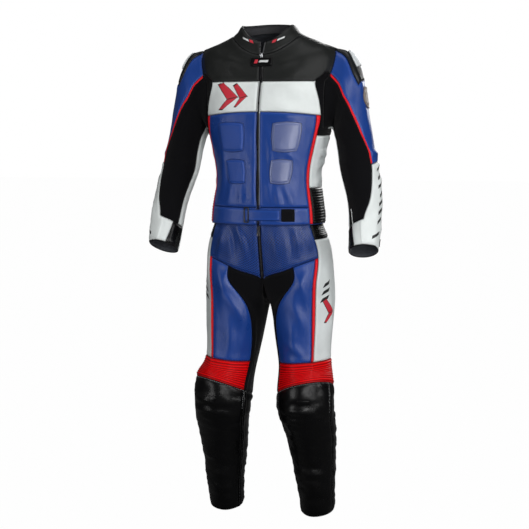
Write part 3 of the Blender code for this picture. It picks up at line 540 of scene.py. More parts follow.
# Seams of the hips, in degrees from the centre front.
HipSeams = namedtuple("HipSeams", "gusset stripe_front stripe_back side_back")
HIP_SEAMS = HipSeams(26.5, 54, 59.5, 118)
GUSSET, STRIPE_1, STRIPE_2, LEG_SIDE_BACK, LEG_BACK = 2, 4, 5, 8, 11
LEG_COLUMNS = 15
# The seam under the crotch, front to back, between the two ends of the v_seam ring.
CrotchPoint = namedtuple("CrotchPoint", "y z")
CROTCH = [CrotchPoint(-44, -738), CrotchPoint(2, -766), CrotchPoint(52, -752)]

LEG = [
    LimbRing("thigh_top", 193, -772, 9, -796, 16, 107, 12),
    LimbRing("thigh", 191, -865, 23, -878, 6, 95, 0),
    LimbRing("knee_top", 190, -938, 38, -952, -6, 85, 2),
    LimbRing("knee_upper", 199, -972, 42, -1000, -30, 85, 10),
    LimbRing("knee_low", 208, -1004, 43, -1046, -47, 86, 28),
    LimbRing("knee_cap", 212, -1072, 45, -1086, -55, 84, 10),
    LimbRing("shin_top", 212, -1132, 56, -1136, -36, 80, 2),
    LimbRing("calf", 209, -1192, 66, -1196, -8, 75, 0),
    LimbRing("shin", 203, -1262, 77, -1266, 8, 66, -4),
    LimbRing("ankle_top", 199, -1330, 87, -1334, 20, 58, -8),
    LimbRing("leg_hem", 195, -1402, 93, -1406, 36, 53, -14),
]
LegSeams = namedtuple("LegSeams", "gusset stripe_front stripe_back side_back gusset_back")
LEG_SEAMS = {
    "thigh_top": LegSeams(-36, 34, 40, 126, 236),
    "thigh": LegSeams(-56, 32, 37.5, 127, 242),
    "knee_top": LegSeams(-65, 29, 34.5, 128, 247),
    "knee_upper": LegSeams(-65, 18, 40, 128, 247),
}
LOWER_LEG_SEAMS = LegSeams(-64, 8, 42, 130, 247)
SHIN_OUTER = 6
KNEE_TOP_ROW, KNEE_LOW_ROW = 4, 6
print("tables:", len(TORSO), "torso,", len(SLEEVE), "sleeve,", len(HIPS) + len(LEG), "trouser rings")



# %% [markdown]
# ## Cage
# A cage is a net of points and four-sided cells. Cells that touch share their points, so the finished panels
# meet exactly at their seams however they are rounded. Each cell knows which cut piece it belongs to and where
# it lies on the flat cloth, so that punched rows and knit can follow the panel.

# %% A net of cells
HANDS = ((1, "left"), (-1, "right"))


class Cage:
    """Points shared by neighbouring cells, and each cell's piece, corners and place on the flat cloth."""

    def __init__(self):
        self.points = []
        self.cells = []

    def add(self, point):
        self.points.append(np.array(point, float))
        return len(self.points) - 1

    def cell(self, piece, corners, side, across, down):
        spots = [(across[0], down[0]), (across[0], down[1]), (across[1], down[1]), (across[1], down[0])]
        if side < 0:
            corners, spots = corners[::-1], spots[::-1]
        self.cells.append((piece, tuple(corners), spots))


def spread(anchors, columns):
    """An angle for each column, evenly spaced between the seams that are given."""
    return np.interp(columns, list(anchors), list(anchors.values()))


def round_section(angle, half_width, y_front, y_side, y_back):
    """A point of a rounded-square section, at an angle from the front."""
    sine, cosine = math.sin(math.radians(angle)), math.cos(math.radians(angle))
    x = half_width * abs(sine) ** ROUNDNESS
    reach = (y_front if cosine > 0 else y_back) - y_side
    return x, y_side + reach * abs(cosine) ** ROUNDNESS


def lengths(points):
    """How far along this row of points each one is."""
    steps = np.linalg.norm(np.diff(np.array(points), axis=0), axis=1)
    return [0.0, *np.cumsum(steps)]


def torso_point(ring, angle, half_opening):
    x, y = round_section(angle, ring.half_width, ring.y_front, ring.y_side, ring.y_back)
    end_z = ring.z_front if angle < 90 else ring.z_back
    z = ring.z_side + (end_z - ring.z_side) * (1 - (x / ring.half_width) ** 2)
    return (max(x, half_opening) if angle < 90 else x), y, z


def torso_angles(ring, side):
    seams = SEAMS_BY_RING.get(ring.name, BODY_SEAMS)
    if side < 0 and seams is BODY_SEAMS:
        seams = RIGHT_SEAMS_BY_RING.get(ring.name, RIGHT_BODY_SEAMS)
    anchors = {
        0: 0.0,
        STRIPE_FRONT: seams.stripe_front,
        CHEST_EDGE: seams.chest_edge,
        ARM_FRONT: seams.arm_front,
        ARM_BACK: seams.arm_back,
        BACK_CENTRE: 180.0,
    }
    return spread(anchors, range(BACK_CENTRE + 1))


def limb_point(ring, angle):
    """A point of a limb ring, at an angle from its front towards its outer side."""
    sine, cosine = math.sin(math.radians(angle)), math.cos(math.radians(angle))
    x = (ring.outer_x + ring.inner_x) / 2 + sine * (ring.outer_x - ring.inner_x) / 2
    z = (ring.outer_z + ring.inner_z) / 2 + sine * (ring.outer_z - ring.inner_z) / 2
    return x, ring.y - cosine * ring.depth, z + cosine * ring.rise


def mirrored(point, side):
    return side * point[0], point[1], point[2]


def in_armhole(row, column):
    return SHOULDER <= row < ARMPIT and ARM_FRONT <= column < ARM_BACK


def torso_piece(row, column, hand):
    """The cut piece that the cell below this row and after this column belongs to."""
    if row < NECK:
        return "collar"
    if row < YOKE_SEAM:
        return "underarm_" + hand if row == STRETCH_TOP and column == CHEST_EDGE else "yoke"
    if column >= ARM_BACK:
        return "back"
    if row < CHEST_SEAM:
        return ("underarm_" if column >= CHEST_EDGE else "chest_") + hand
    if column < STRIPE_FRONT:
        return ("band_" if row >= BAND_TOP else "body_") + hand
    if column < CHEST_EDGE:
        return "side_stripe_" + hand
    if row < UNDERARM:
        return "underarm_" + hand
    return ("side_pleats_" if row >= PLEATS_TOP else "side_white_") + hand


# %% Jacket body
def build_torso(cage):
    """Rings from the collar to the hem. It returns the points' indices by side, row and column."""
    grid = {}
    for row, ring in enumerate(TORSO):
        half_opening = ZIP_HALF + (COLLAR_TOP_HALF - ZIP_HALF) * max(0, NECK - row) / NECK
        for side in (1, -1):
            for column, angle in enumerate(torso_angles(ring, side)):
                if SHOULDER < row < ARMPIT and ARM_FRONT < column < ARM_BACK:
                    continue
                if column == BACK_CENTRE and side < 0:
                    grid[side, row, column] = grid[1, row, column]
                    continue
                grid[side, row, column] = cage.add(mirrored(torso_point(ring, angle, half_opening), side))
    around = lengths([cage.points[grid[1, UNDERARM, column]] for column in range(BACK_CENTRE + 1)])
    down = lengths([cage.points[grid[1, row, 0]] for row in range(len(TORSO))])
    for side, hand in HANDS:
        for row in range(len(TORSO) - 1):
            for column in range(BACK_CENTRE):
                if in_armhole(row, column):
                    continue
                corners = [
                    grid[side, row, column],
                    grid[side, row + 1, column],
                    grid[side, row + 1, column + 1],
                    grid[side, row, column + 1],
                ]
                cage.cell(
                    torso_piece(row, column, hand), corners, side, around[column : column + 2],
                    down[row : row + 2]
                )
    return grid


def armhole_loop():
    """The (row, column) of the torso points that a sleeve starts from: front edge, top, back edge, bottom."""
    front = [(row, ARM_FRONT) for row in range(ARMPIT, SHOULDER, -1)]
    top = [(SHOULDER, column) for column in range(ARM_FRONT, ARM_BACK)]
    back = [(row, ARM_BACK) for row in range(SHOULDER, ARMPIT)]
    bottom = [(ARMPIT, column) for column in range(ARM_BACK, ARM_FRONT, -1)]
    return front + top + back + bottom


# %% Sleeves
def sleeve_angles(ring):
    seams = SLEEVE_SEAMS[ring.name]
    anchors = {
        STRIP_FRONT: seams.strip_front,
        PIPING: seams.piping,
        CAP_FRONT: seams.cap_front,
        CAP_BACK: seams.cap_back,
        REAR: seams.rear,
        SLEEVE_COLUMNS: seams.strip_front + 360,
    }
    return spread(anchors, range(SLEEVE_COLUMNS))


def sleeve_piece(row, column):
    in_front = column >= STRETCH_REAR or column < PIPING
    if row < ELBOW_ROW:
        if in_front:
            return "sleeve_stretch"
        if row < HEAD_LOW_ROW and CAP_FRONT <= column < CAP_BACK:
            return "sleeve_cap"
        return "sleeve_blue" if column < BLUE_REAR else "sleeve_white"
    if row < STRETCH_HEM_ROW:
        return "sleeve_stretch" if in_front else "sleeve_white"
    return "sleeve_strip" if column >= STRIP_REAR else "sleeve_white"


def close_tube(cage, rows, piece_of, hand, side):
    count = len(rows[0])
    middle = rows[len(rows) // 2]
    around = lengths([cage.points[i] for i in middle + middle[:1]])
    down = lengths([cage.points[row[0]] for row in rows])
    for row in range(len(rows) - 1):
        for column in range(count):
            after = (column + 1) % count
            corners = [rows[row][column], rows[row + 1][column], rows[row + 1][after], rows[row][after]]
            piece = piece_of(row, column)
            whole = piece if piece in ("gusset", "seat") else f"{piece}_{hand}"
            cage.cell(whole, corners, side, around[column : column + 2], down[row : row + 2])


def build_sleeve(cage, torso, side, hand):
    rows = [[torso[side, row, column] for row, column in armhole_loop()]]
    for ring in SLEEVE:
        rows.append([cage.add(mirrored(limb_point(ring, a), side)) for a in sleeve_angles(ring)])
    close_tube(cage, rows, sleeve_piece, hand, side)
    return rows


# %% Hips
def hip_point(ring, angle):
    x, y = round_section(angle, ring.half_width, ring.y_front, ring.y_side, ring.y_back)
    end_z = ring.z_front if angle < 90 else ring.z_back
    z = ring.z_side + (end_z - ring.z_side) * (1 - x / ring.half_width)
    drawn_in = ring.cleft * math.exp(-((x / CLEFT_WIDTH) ** 2))
    y += drawn_in if angle < 90 else -drawn_in / 2
    return max(x, FLY_HALF if angle < 90 else SEAT_HALF), y, z


def hip_piece(row, column, hand):
    if column < STRIPE_2:
        return "hip_yoke_" + hand
    if column >= LEG_SIDE_BACK:
        return "seat"
    return ("hip_pleats_" if row < len(HIPS) - 2 else "leg_side_") + hand


# %% Legs
def leg_piece(row, column):
    """Row 0 is between the v seam and the first whole ring."""
    inner = column >= LEG_BACK or column < GUSSET
    if row < KNEE_LOW_ROW and inner:
        return "gusset"
    if row < KNEE_TOP_ROW:
        if column < STRIPE_1:
            return "thigh"
        if column < STRIPE_2:
            return "leg_stripe"
        return "leg_side" if column < LEG_SIDE_BACK else "seat"
    if row < KNEE_LOW_ROW:
        return "knee" if column < LEG_SIDE_BACK else "calf"
    return "shin" if GUSSET <= column < SHIN_OUTER else "calf"


def leg_angles(ring):
    seams = LEG_SEAMS.get(ring.name, LOWER_LEG_SEAMS)
    anchors = {
        GUSSET: seams.gusset,
        STRIPE_1: seams.stripe_front,
        STRIPE_2: seams.stripe_back,
        LEG_SIDE_BACK: seams.side_back,
        LEG_BACK: seams.gusset_back,
        LEG_COLUMNS + GUSSET: seams.gusset + 360,
    }
    columns = [column if column >= GUSSET else column + LEG_COLUMNS for column in range(LEG_COLUMNS)]
    return spread(anchors, columns)


def between_rings(upper, lower, column):
    """A point of the ring between the v seam and the thigh, a little fuller than the mean."""
    keeps_wide = {1: 20.0, GUSSET: 22.0, 3: 12.0}.get(column, 0.0)
    point = (np.array(upper) + np.array(lower)) / 2
    fuller = 8.0 if column <= LEG_BACK else 0.0
    away = np.sign(point[1] - 10.0) * fuller
    higher = 10.0 if column in (GUSSET, 3) else 0.0
    return point + np.array([keeps_wide, away, higher])


# %% Both halves of the trousers
def build_trousers(cage):
    hip_anchors = {
        0: 0.0,
        GUSSET: HIP_SEAMS.gusset,
        STRIPE_1: HIP_SEAMS.stripe_front,
        STRIPE_2: HIP_SEAMS.stripe_back,
        LEG_SIDE_BACK: HIP_SEAMS.side_back,
        LEG_BACK: 180.0,
    }
    angles = spread(hip_anchors, range(LEG_BACK + 1))
    hips, legs, crotch = {}, {}, {}
    for side, hand in HANDS:
        for row, ring in enumerate(HIPS):
            for column, angle in enumerate(angles):
                hips[side, row, column] = cage.add(mirrored(hip_point(ring, angle), side))
        around = lengths([cage.points[hips[side, 2, column]] for column in range(LEG_BACK + 1)])
        down = lengths([cage.points[hips[side, row, 0]] for row in range(len(HIPS))])
        for row in range(len(HIPS) - 1):
            for column in range(LEG_BACK):
                corners = [
                    hips[side, row, column],
                    hips[side, row + 1, column],
                    hips[side, row + 1, column + 1],
                    hips[side, row, column + 1],
                ]
                cage.cell(
                    hip_piece(row, column, hand), corners, side, around[column : column + 2],
                    down[row : row + 2]
                )
        last = len(HIPS) - 1
        crotch[side] = [cage.add((side * SEAT_HALF, p.y, p.z)) for p in CROTCH]
        loop = [hips[side, last, column] for column in range(LEG_BACK + 1)] + crotch[side][::-1]
        rings = [[mirrored(limb_point(ring, a), 1) for a in leg_angles(ring)] for ring in LEG]
        loop_points = [mirrored(cage.points[i], side) for i in loop]
        first = [between_rings(u, l, c) for c, (u, l) in enumerate(zip(loop_points, rings[0]))]
        rows = [loop] + [[cage.add(mirrored(p, side)) for p in ring] for ring in [first] + rings]
        close_tube(cage, rows, leg_piece, hand, side)
        legs[side] = rows
    join_halves(cage, hips, crotch)
    return hips, legs


def join_halves(cage, hips, crotch):
    """The narrow strip between the halves: the fly zip, the crotch and the seat seam."""
    down = lengths([cage.points[hips[1, row, 0]] for row in range(len(HIPS))])
    wide = (0.0, 2 * FLY_HALF)
    last = len(HIPS) - 1
    for row in range(last):
        front = [hips[-1, row, 0], hips[-1, row + 1, 0], hips[1, row + 1, 0], hips[1, row, 0]]
        cage.cell("fly_zip", front, 1, wide, down[row : row + 2])
        back = [hips[1, row, LEG_BACK], hips[1, row + 1, LEG_BACK]]
        back += [hips[-1, row + 1, LEG_BACK], hips[-1, row, LEG_BACK]]
        cage.cell("seat", back, 1, wide, down[row : row + 2])
    left = [hips[1, last, 0]] + crotch[1] + [hips[1, last, LEG_BACK]]
    right = [hips[-1, last, 0]] + crotch[-1] + [hips[-1, last, LEG_BACK]]
    for upper in range(len(left) - 1):
        ends = [right[upper], right[upper + 1], left[upper + 1], left[upper]]
        cage.cell("gusset", ends, 1, (0.0, 2 * SEAT_HALF), (40.0 * upper, 40.0 * upper + 40.0))


jacket = Cage()
torso = build_torso(jacket)
sleeves = {side: build_sleeve(jacket, torso, side, hand) for side, hand in HANDS}
trousers = Cage()
hips, legs = build_trousers(trousers)
print("cages:", len(jacket.cells), "jacket cells,", len(trousers.cells), "trouser cells")


# %% [markdown]
# ## From cage to smooth form
# A Subdivision Surface modifier rounds the cage, but it also shrinks it inside its own corners. So the corners
# are first moved out until the rounded surface passes through the places that the tables give. Then the modifier
# is applied, and every small face still knows its piece and its place on the cloth.

# %% Rounding a cage
ROUND_LEVELS = 3
CORRECTIONS = 5


def smooth_form(cage, name):
    """The cage as one rounded mesh object, whose faces carry the number of their piece."""
    data = bpy.data.meshes.new(name)
    target = np.array(cage.points) * MM
    data.from_pydata(target.tolist(), [], [corners for _, corners, _ in cage.cells])
    names = sorted({piece for piece, _, _ in cage.cells})
    data.attributes.new("piece", "INT", "FACE").data.foreach_set(
        "value", [names.index(piece) for piece, _, _ in cage.cells]
    )
    spots = data.uv_layers.new(name="cloth")
    spots.data.foreach_set("uv", np.array([s for _, _, s in cage.cells], np.float32).ravel() * MM)
    form = bpy.data.objects.new(name, data)
    scene.collection.objects.link(form)
    rounding = form.modifiers.new("rounding", "SUBSURF")
    rounding.levels = rounding.render_levels = 1
    rounding.uv_smooth, rounding.boundary_smooth = "NONE", "PRESERVE_CORNERS"
    moved = target.copy()
    for _ in range(CORRECTIONS):
        graph = bpy.context.evaluated_depsgraph_get()
        got = np.array([v.co for v in form.evaluated_get(graph).data.vertices[: len(target)]])
        moved += 0.9 * (target - got)
        data.vertices.foreach_set("co", moved.astype(np.float32).ravel())
        data.update()
    rounding.levels = rounding.render_levels = ROUND_LEVELS
    bpy.ops.object.select_all(action="DESELECT")
    bpy.context.view_layer.objects.active = form
    form.select_set(True)
    bpy.ops.object.modifier_apply(modifier="rounding")
    print(
        name, "rounded to", len(form.data.polygons), "faces; corners within",
        round(float(np.abs(target - got).max()) / MM, 2), "mm"
    )
    return form, names


class Skin:
    """The rounded form as arrays: points, outward directions, faces, pieces, cloth places and seam distances."""

    def __init__(self, form, names):
        data = form.data
        self.names = names
        self.faces = np.array([tuple(p.vertices) for p in data.polygons])
        self.piece = np.array([a.value for a in data.attributes["piece"].data])
        self.place = np.zeros(len(data.vertices) * 3)
        data.vertices.foreach_get("co", self.place)
        self.place = self.place.reshape(-1, 3)
        self.normal = np.array([tuple(v.normal) for v in data.vertices])
        spots = np.zeros(len(data.loops) * 2)
        data.uv_layers["cloth"].data.foreach_get("uv", spots)
        self.cloth = spots.reshape(-1, 4, 2)
        self.seam = self.seam_distance()
        bpy.data.objects.remove(form)

    def seam_distance(self):
        low = np.full(len(self.place), 999)
        high = np.full(len(self.place), -1)
        for corner in range(4):
            np.minimum.at(low, self.faces[:, corner], self.piece)
            np.maximum.at(high, self.faces[:, corner], self.piece)
        edges = np.concatenate([np.sort(self.faces[:, [c, (c + 1) % 4]], axis=1) for c in range(4)])
        unique, count = np.unique(edges, axis=0, return_counts=True)
        on_seam = low != high
        on_seam[unique[count == 1].ravel()] = True
        seams = np.flatnonzero(on_seam)
        tree = kdtree.KDTree(len(seams))
        for spot, index in enumerate(seams):
            tree.insert(self.place[index], spot)
        tree.balance()
        return np.array([tree.find(p)[2] for p in self.place])


jacket_skin = Skin(*smooth_form(jacket, "jacket_form"))
trouser_skin = Skin(*smooth_form(trousers, "trouser_form"))

# %% [markdown]
# ## Folds
# Leather keeps the folds that wear puts in it, and they always start from something: a belt, a knee, an armpit.
# Each is a soft ridge or trough between two points, placed one by one and uneven on purpose, and the hidden sides
# get the same care. A fold is wide and shallow on the chest and narrow and deep behind the knee.

# %% The fold table
# facing is the side of the body that a fold is on. On the front and back a0 and a1 are x, and on the sides y.
Fold = namedtuple("Fold", "facing a0 z0 a1 z1 width height")
FACINGS = {"front": (0, -1, 0), "back": (0, 1, 0), "left": (1, 0, 0), "right": (-1, 0, 0)}
FOLD_ROWS = [
    ("front", [
        # jacket front, below and between the pads
        (52, -436, 62, -482, 9, 2.2), (76, -426, 98, -486, 12, 2.0), (30, -424, 38, -486, 9, 1.3),
        (78, -330, 108, -352, 7, 1.6), (108, -356, 124, -440, 14, 1.8), (128, -280, 132, -350, 12, 1.2),
        (64, -228, 116, -234, 8, 1.1), (-50, -434, -58, -484, 9, 1.2), (-84, -424, -98, -484, 12, 1.6),
        (-28, -336, -30, -482, 8, 0.9), (-118, -300, -112, -420, 12, 1.5), (22, -240, 22, -480, 6, 1.0),
        (-20, -240, -21, -480, 6, 0.8),
        # yoke and chest
        (120, -92, 70, -112, 14, 1.5), (-116, -90, -72, -116, 14, 1.5), (92, -66, 46, -84, 10, 1.0),
        (-100, -64, -52, -82, 10, 1.1), (90, -150, 140, -185, 16, 1.6), (40, -200, 110, -212, 12, 1.0),
        (-120, -150, -95, -205, 14, 1.3),
        # hips, fanning out from the belt
        (-66, -548, -42, -648, 8, 3.0), (-92, -548, -78, -640, 9, -2.0), (-116, -560, -132, -626, 9, 2.4),
        (-24, -552, -20, -640, 10, 1.2), (40, -552, 46, -640, 10, 1.3), (84, -550, 92, -640, 10, -1.6),
        (104, -556, 114, -626, 8, 2.6), (126, -556, 142, -610, 8, 2.0),
        # thighs
        (-98, -760, -60, -830, 12, 3.0), (-58, -745, -72, -918, 12, 3.2), (-92, -850, -100, -925, 12, 1.8),
        (-120, -690, -124, -780, 12, 1.6), (118, -700, 136, -775, 10, 2.6), (100, -780, 128, -845, 12, 3.0),
        (74, -890, 118, -912, 9, 2.0), (96, -905, 126, -926, 7, 1.8), (88, -830, 92, -890, 12, 1.6),
        # knees and shins of the right leg
        (-196, -1055, -118, -1072, 6, 3.2), (-190, -1074, -86, -1086, 5, -3.0),
        (-196, -1084, -120, -1098, 6, 3.2), (-192, -1106, -140, -1114, 7, 2.4),
        (-84, -1120, -120, -1160, 8, 1.8), (-186, -1238, -150, -1246, 9, 3.2),
        (-196, -1262, -110, -1268, 6, -2.2), (-184, -1300, -120, -1306, 8, 1.8),
        (-186, -1322, -140, -1352, 7, 2.6), (-180, -1352, -130, -1374, 6, 2.0),
        (-88, -1190, -100, -1230, 9, 1.8),
        # knees and shins of the left leg
        (80, -1066, 178, -1058, 5, -2.6), (76, -1084, 170, -1084, 6, 3.4), (72, -1102, 160, -1100, 5, -2.4),
        (76, -1116, 130, -1118, 6, 2.6), (86, -1140, 122, -1134, 7, 1.8), (96, -1262, 180, -1268, 6, -2.6),
        (92, -1250, 130, -1282, 5, 2.6), (130, -1286, 176, -1278, 6, 2.8), (100, -1310, 176, -1322, 7, 2.4),
        (104, -1344, 180, -1336, 7, 2.4), (104, -1372, 176, -1364, 6, -2.0),
    ]),
    ("right", [
        # inner and outer sides of the lower legs
        (-52, -1120, 30, -1090, 8, 1.5), (-40, -1170, 46, -1146, 8, 1.2), (-20, -1300, 56, -1276, 8, 1.4),
        (-10, -1362, 66, -1340, 7, 1.1),
    ]),
    ("left", [
        (-56, -1116, 20, -1094, 8, 1.4), (-44, -1160, 40, -1140, 9, 1.2), (-16, -1290, 56, -1270, 8, 1.4),
        (-8, -1350, 66, -1330, 7, 1.2),
    ]),
    ("back", [
        # the backs of the legs, where the knee bends
        (70, -960, 180, -975, 10, 3.4), (66, -990, 186, -1000, 8, -3.0), (70, -1022, 180, -1012, 9, 3.2),
        (80, -1050, 176, -1060, 9, 2.6), (-70, -968, -180, -960, 10, 3.2), (-66, -996, -186, -990, 8, -3.0),
        (-72, -1018, -180, -1024, 9, 3.4), (-84, -1056, -176, -1048, 9, 2.6),
        (110, -1180, 180, -1200, 10, 2.2), (-110, -1190, -178, -1176, 10, 2.2),
        (110, -1330, 176, -1346, 9, 2.6), (-110, -1340, -176, -1326, 9, 2.6),
        # seat and back
        (40, -560, 110, -640, 14, 2.6), (-40, -566, -112, -636, 14, 2.4), (60, -720, 150, -760, 12, 3.0),
        (-60, -726, -150, -756, 12, 3.0), (-110, -440, 20, -462, 12, 2.6), (-20, -484, 120, -470, 12, 2.4),
        (30, -170, 60, -330, 18, 2.0), (-36, -180, -58, -320, 18, 2.0), (90, -210, 150, -260, 12, 2.6),
        (-92, -206, -150, -266, 12, 2.6),
    ]),
    ("front", [
        # sleeves, round the elbows and the armpits
        (205, -262, 236, -300, 9, 1.8), (-206, -260, -238, -300, 9, 1.8), (216, -356, 262, -372, 9, 1.6),
        (-216, -360, -266, -368, 9, 1.6),
    ]),
    ("left", [(-30, -330, 50, -345, 9, 2.4), (-24, -372, 52, -362, 9, 2.6), (-40, -420, 36, -408, 10, 2.0)]),
    ("right", [(-30, -334, 50, -342, 9, 2.4), (-26, -368, 52, -368, 9, 2.6), (-40, -414, 38, -416, 10, 2.0)]),
    ("left", [(-90, -560, -40, -548, 9, 1.6)]),
    ("right", [(-88, -552, -42, -560, 9, 1.6)]),
    ("back", [
        (220, -300, 300, -320, 10, 2.4), (226, -350, 310, -342, 10, 2.6), (-220, -306, -300, -316, 10, 2.4),
        (-226, -344, -310, -350, 10, 2.6),
    ]),
    ("left", [
        # under the arms and over the hips
        (-40, -330, 30, -352, 12, 1.2), (-30, -700, -10, -900, 16, 1.6), (30, -660, 50, -840, 16, 1.8),
    ]),
    ("right", [(-30, -720, -8, -900, 16, 1.6), (34, -660, 50, -850, 16, 1.8)]),
]
FOLDS = [Fold(facing, *row) for facing, rows in FOLD_ROWS for row in rows]


FOLD_DEPTH = 2.0


def folds_over(place, normal):
    """How far the folds lift or sink each point, in metres."""
    lift = np.zeros(len(place))
    for fold in FOLDS:
        facing = np.clip(normal @ np.array(FACINGS[fold.facing], float) * 1.5, 0, 1)
        along = 0 if fold.facing in ("front", "back") else 1
        flat = place[:, [along, 2]] / MM
        if along == 1:
            facing = facing * (place[:, 0] * (1 if fold.facing == "left" else -1) > 0.03)
        start, end = np.array([fold.a0, fold.z0]), np.array([fold.a1, fold.z1])
        way = end - start
        share = np.clip((flat - start) @ way / (way @ way), 0, 1)
        bend = 0.06 * np.linalg.norm(way) * np.sin(math.pi * share)
        side = np.array([-way[1], way[0]]) / np.linalg.norm(way)
        gap = np.linalg.norm(flat - start - share[:, None] * way - bend[:, None] * side, axis=1)
        taper = 0.35 + 0.65 * np.sin(math.pi * np.clip(share, 0.02, 0.98))
        lift += facing * fold.height * FOLD_DEPTH * MM * taper * np.exp(-((gap / fold.width) ** 2))
    return lift


# %% Puffed seams and slack
SEAM_SINK, SEAM_PUFF = 1.5, 0.7


def seam_roll(seam):
    """A panel sinks into its seam and swells a little beside it."""
    gap = seam / MM
    return (SEAM_PUFF * np.exp(-(((gap - 9) / 6) ** 2)) - SEAM_SINK * np.exp(-((gap / 3.2) ** 2))) * MM


def slack(place, strength):
    """Leather never lies quite flat: two sizes of soft unevenness."""
    broad = [noise.noise(Vector(p) * 14) for p in place]
    fine = [noise.noise(Vector(p) * 45 + Vector((7, 3, 1))) for p in place]
    return (np.array(broad) * 1.6 + np.array(fine) * 0.55) * strength * MM


# Heights of the creases in millimetres: wide and tight ones across the lower legs, long ones down blue leather.
CREASE_WIDE, CREASE_TIGHT, CREASE_LONG = 2.6, 1.2, 1.1


def crumple(place, names, piece, faces):
    """Close uneven creases where the leather is worn: across the shins and calves, and down the blue panels."""
    across = np.array([noise.noise(Vector((p[0] * 16, p[1] * 16, p[2] * 75))) for p in place])
    tight = np.array([noise.noise(Vector((p[0] * 22 + 5, p[1] * 22, p[2] * 130 + p[0] * 60))) for p in place])
    along = np.array([noise.noise(Vector((p[0] * 42, p[1] * 42, p[2] * 9 + 3))) for p in place])
    height = np.zeros(len(place))
    for number, name in enumerate(names):
        spots = np.unique(faces[piece == number])
        if name.startswith(("shin", "calf")):
            height[spots] = across[spots] * CREASE_WIDE + tight[spots] * CREASE_TIGHT
        elif name.startswith(("thigh", "hip_yoke", "seat", "body", "back", "sleeve_blue")):
            height[spots] = along[spots] * CREASE_LONG
    return height * MM


STRETCHY = ("underarm", "sleeve_stretch", "gusset", "fly_zip", "side_pleats", "hip_pleats")
for skin in (jacket_skin, trouser_skin):
    stretchy = np.array([name.startswith(STRETCHY) for name in skin.names])
    soft = np.ones(len(skin.place))
    soft[np.unique(skin.faces[stretchy[skin.piece]])] = 0.55
    inside = np.clip(skin.seam / 0.008, 0, 1)
    creased = crumple(skin.place, skin.names, skin.piece, skin.faces) * inside
    lift = creased + (
        folds_over(skin.place, skin.normal) + slack(skin.place, 1.0)
    ) * soft * (0.35 + 0.65 * inside)
    skin.place += skin.normal * (lift + seam_roll(skin.seam))[:, None]
    print("folds move the skin", round(lift.min() / MM, 1), "to", round(lift.max() / MM, 1), "mm")

# %% [markdown]
# ## Cut panels
# Each panel is taken out of the rounded skin by its piece number. Accordion panels get their ribs here, with
# extra rows of faces so that every rib is round. A Solidify modifier then gives the panel its thickness, with
# the lining on its inner side, so that the empty collar and cuffs look right from above and below.

# %% Panel table
# The start of a panel's name, its finish, its wall, and for ribs their spacing and height, in millimetres.
Panel = namedtuple("Panel", "start finish wall rib_pitch rib_height thread")
PANELS = [
    Panel("collar", "charcoal", 3.0, 0, 0, "black_thread"),
    Panel("yoke", "charcoal", 2.0, 0, 0, "black_thread"),
    Panel("chest", "white", 2.0, 0, 0, "white_thread"),
    Panel("body", "blue", 2.0, 0, 0, "blue_thread"),
    Panel("band", "blue", 2.0, 0, 0, "blue_thread"),
    Panel("side_stripe", "red", 2.0, 0, 0, None),
    Panel("side_white", "white_side", 2.0, 0, 0, "white_thread"),
    Panel("side_pleats", "black_pleat", 1.6, 8.2, 2.8, None),
    Panel("underarm", "stretch", 1.6, 7.0, 1.6, None),
    Panel("back", "blue", 2.0, 0, 0, "blue_thread"),
    Panel("sleeve_stretch", "stretch", 1.6, 0, 0, None),
    Panel("sleeve_blue", "blue", 2.0, 0, 0, "blue_thread"),
    Panel("sleeve_cap", "cap", 2.0, 0, 0, "black_thread"),
    Panel("sleeve_white", "white", 2.0, 0, 0, "white_thread"),
    Panel("sleeve_strip", "black", 2.0, 0, 0, "black_thread"),
    Panel("hip_yoke", "blue_punched", 2.0, 0, 0, "blue_thread"),
    Panel("hip_pleats", "black_pleat", 1.6, 8.2, 2.8, None),
    Panel("fly_zip", "tape", 1.6, 0, 0, None),
    Panel("gusset", "stretch", 1.6, 0, 0, None),
    Panel("thigh", "blue", 2.0, 0, 0, "blue_thread"),
    Panel("leg_stripe", "red", 2.0, 0, 0, None),
    Panel("leg_side", "white_side", 2.0, 0, 0, "white_thread"),
    Panel("knee", "red_pleat", 2.0, 9.2, 3.6, "red_thread"),
    Panel("shin", "black", 2.0, 0, 0, "pale_thread"),
    Panel("calf", "black", 2.0, 0, 0, "black_thread"),
    Panel("seat", "blue", 2.0, 0, 0, "blue_thread"),
]
RIB_ROWS = 3
# Rib valleys get the seams' painted shade, and this makes that painted shade narrower.
VALLEY_SLOPE = 1.1  # a step away from a valley counts as this many steps away from a seam, so its shade is narrower


def apply_modifier(piece, kind, **settings):
    """Adds a modifier with these settings and applies it."""
    bpy.ops.object.select_all(action="DESELECT")
    bpy.context.view_layer.objects.active = piece
    piece.select_set(True)
    made = piece.modifiers.new(kind.lower(), kind)
    for key, value in settings.items():
        setattr(made, key, value)
    bpy.ops.object.modifier_apply(modifier=made.name)


def finish_piece(piece, body="suit", stands_for=()):
    """Smooth shading, the body that it moves with, and the CAD nodes that it stands for."""
    piece.data.shade_smooth()
    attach(piece, body)
    if stands_for:
        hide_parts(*stands_for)
    return piece


# %% Cutting a panel out of the skin
def cut_panel(skin, number, panel):
    """One panel as a mesh object: its faces, cloth map, seam distances and ribs, but no wall yet."""
    chosen = np.flatnonzero(skin.piece == number)
    used, index = np.unique(skin.faces[chosen], return_inverse=True)
    data = bpy.data.meshes.new(skin.names[number] + "_panel")
    data.from_pydata(skin.place[used].tolist(), [], index.reshape(-1, 4).tolist())
    data.uv_layers.new(name="cloth").data.foreach_set("uv", skin.cloth[chosen].ravel())
    data.attributes.new("seam", "FLOAT", "POINT").data.foreach_set("value", skin.seam[used])
    made = bpy.data.objects.new(skin.names[number] + "_panel", data)
    scene.collection.objects.link(made)
    if panel.rib_pitch:
        add_ribs(made, panel)
    return made


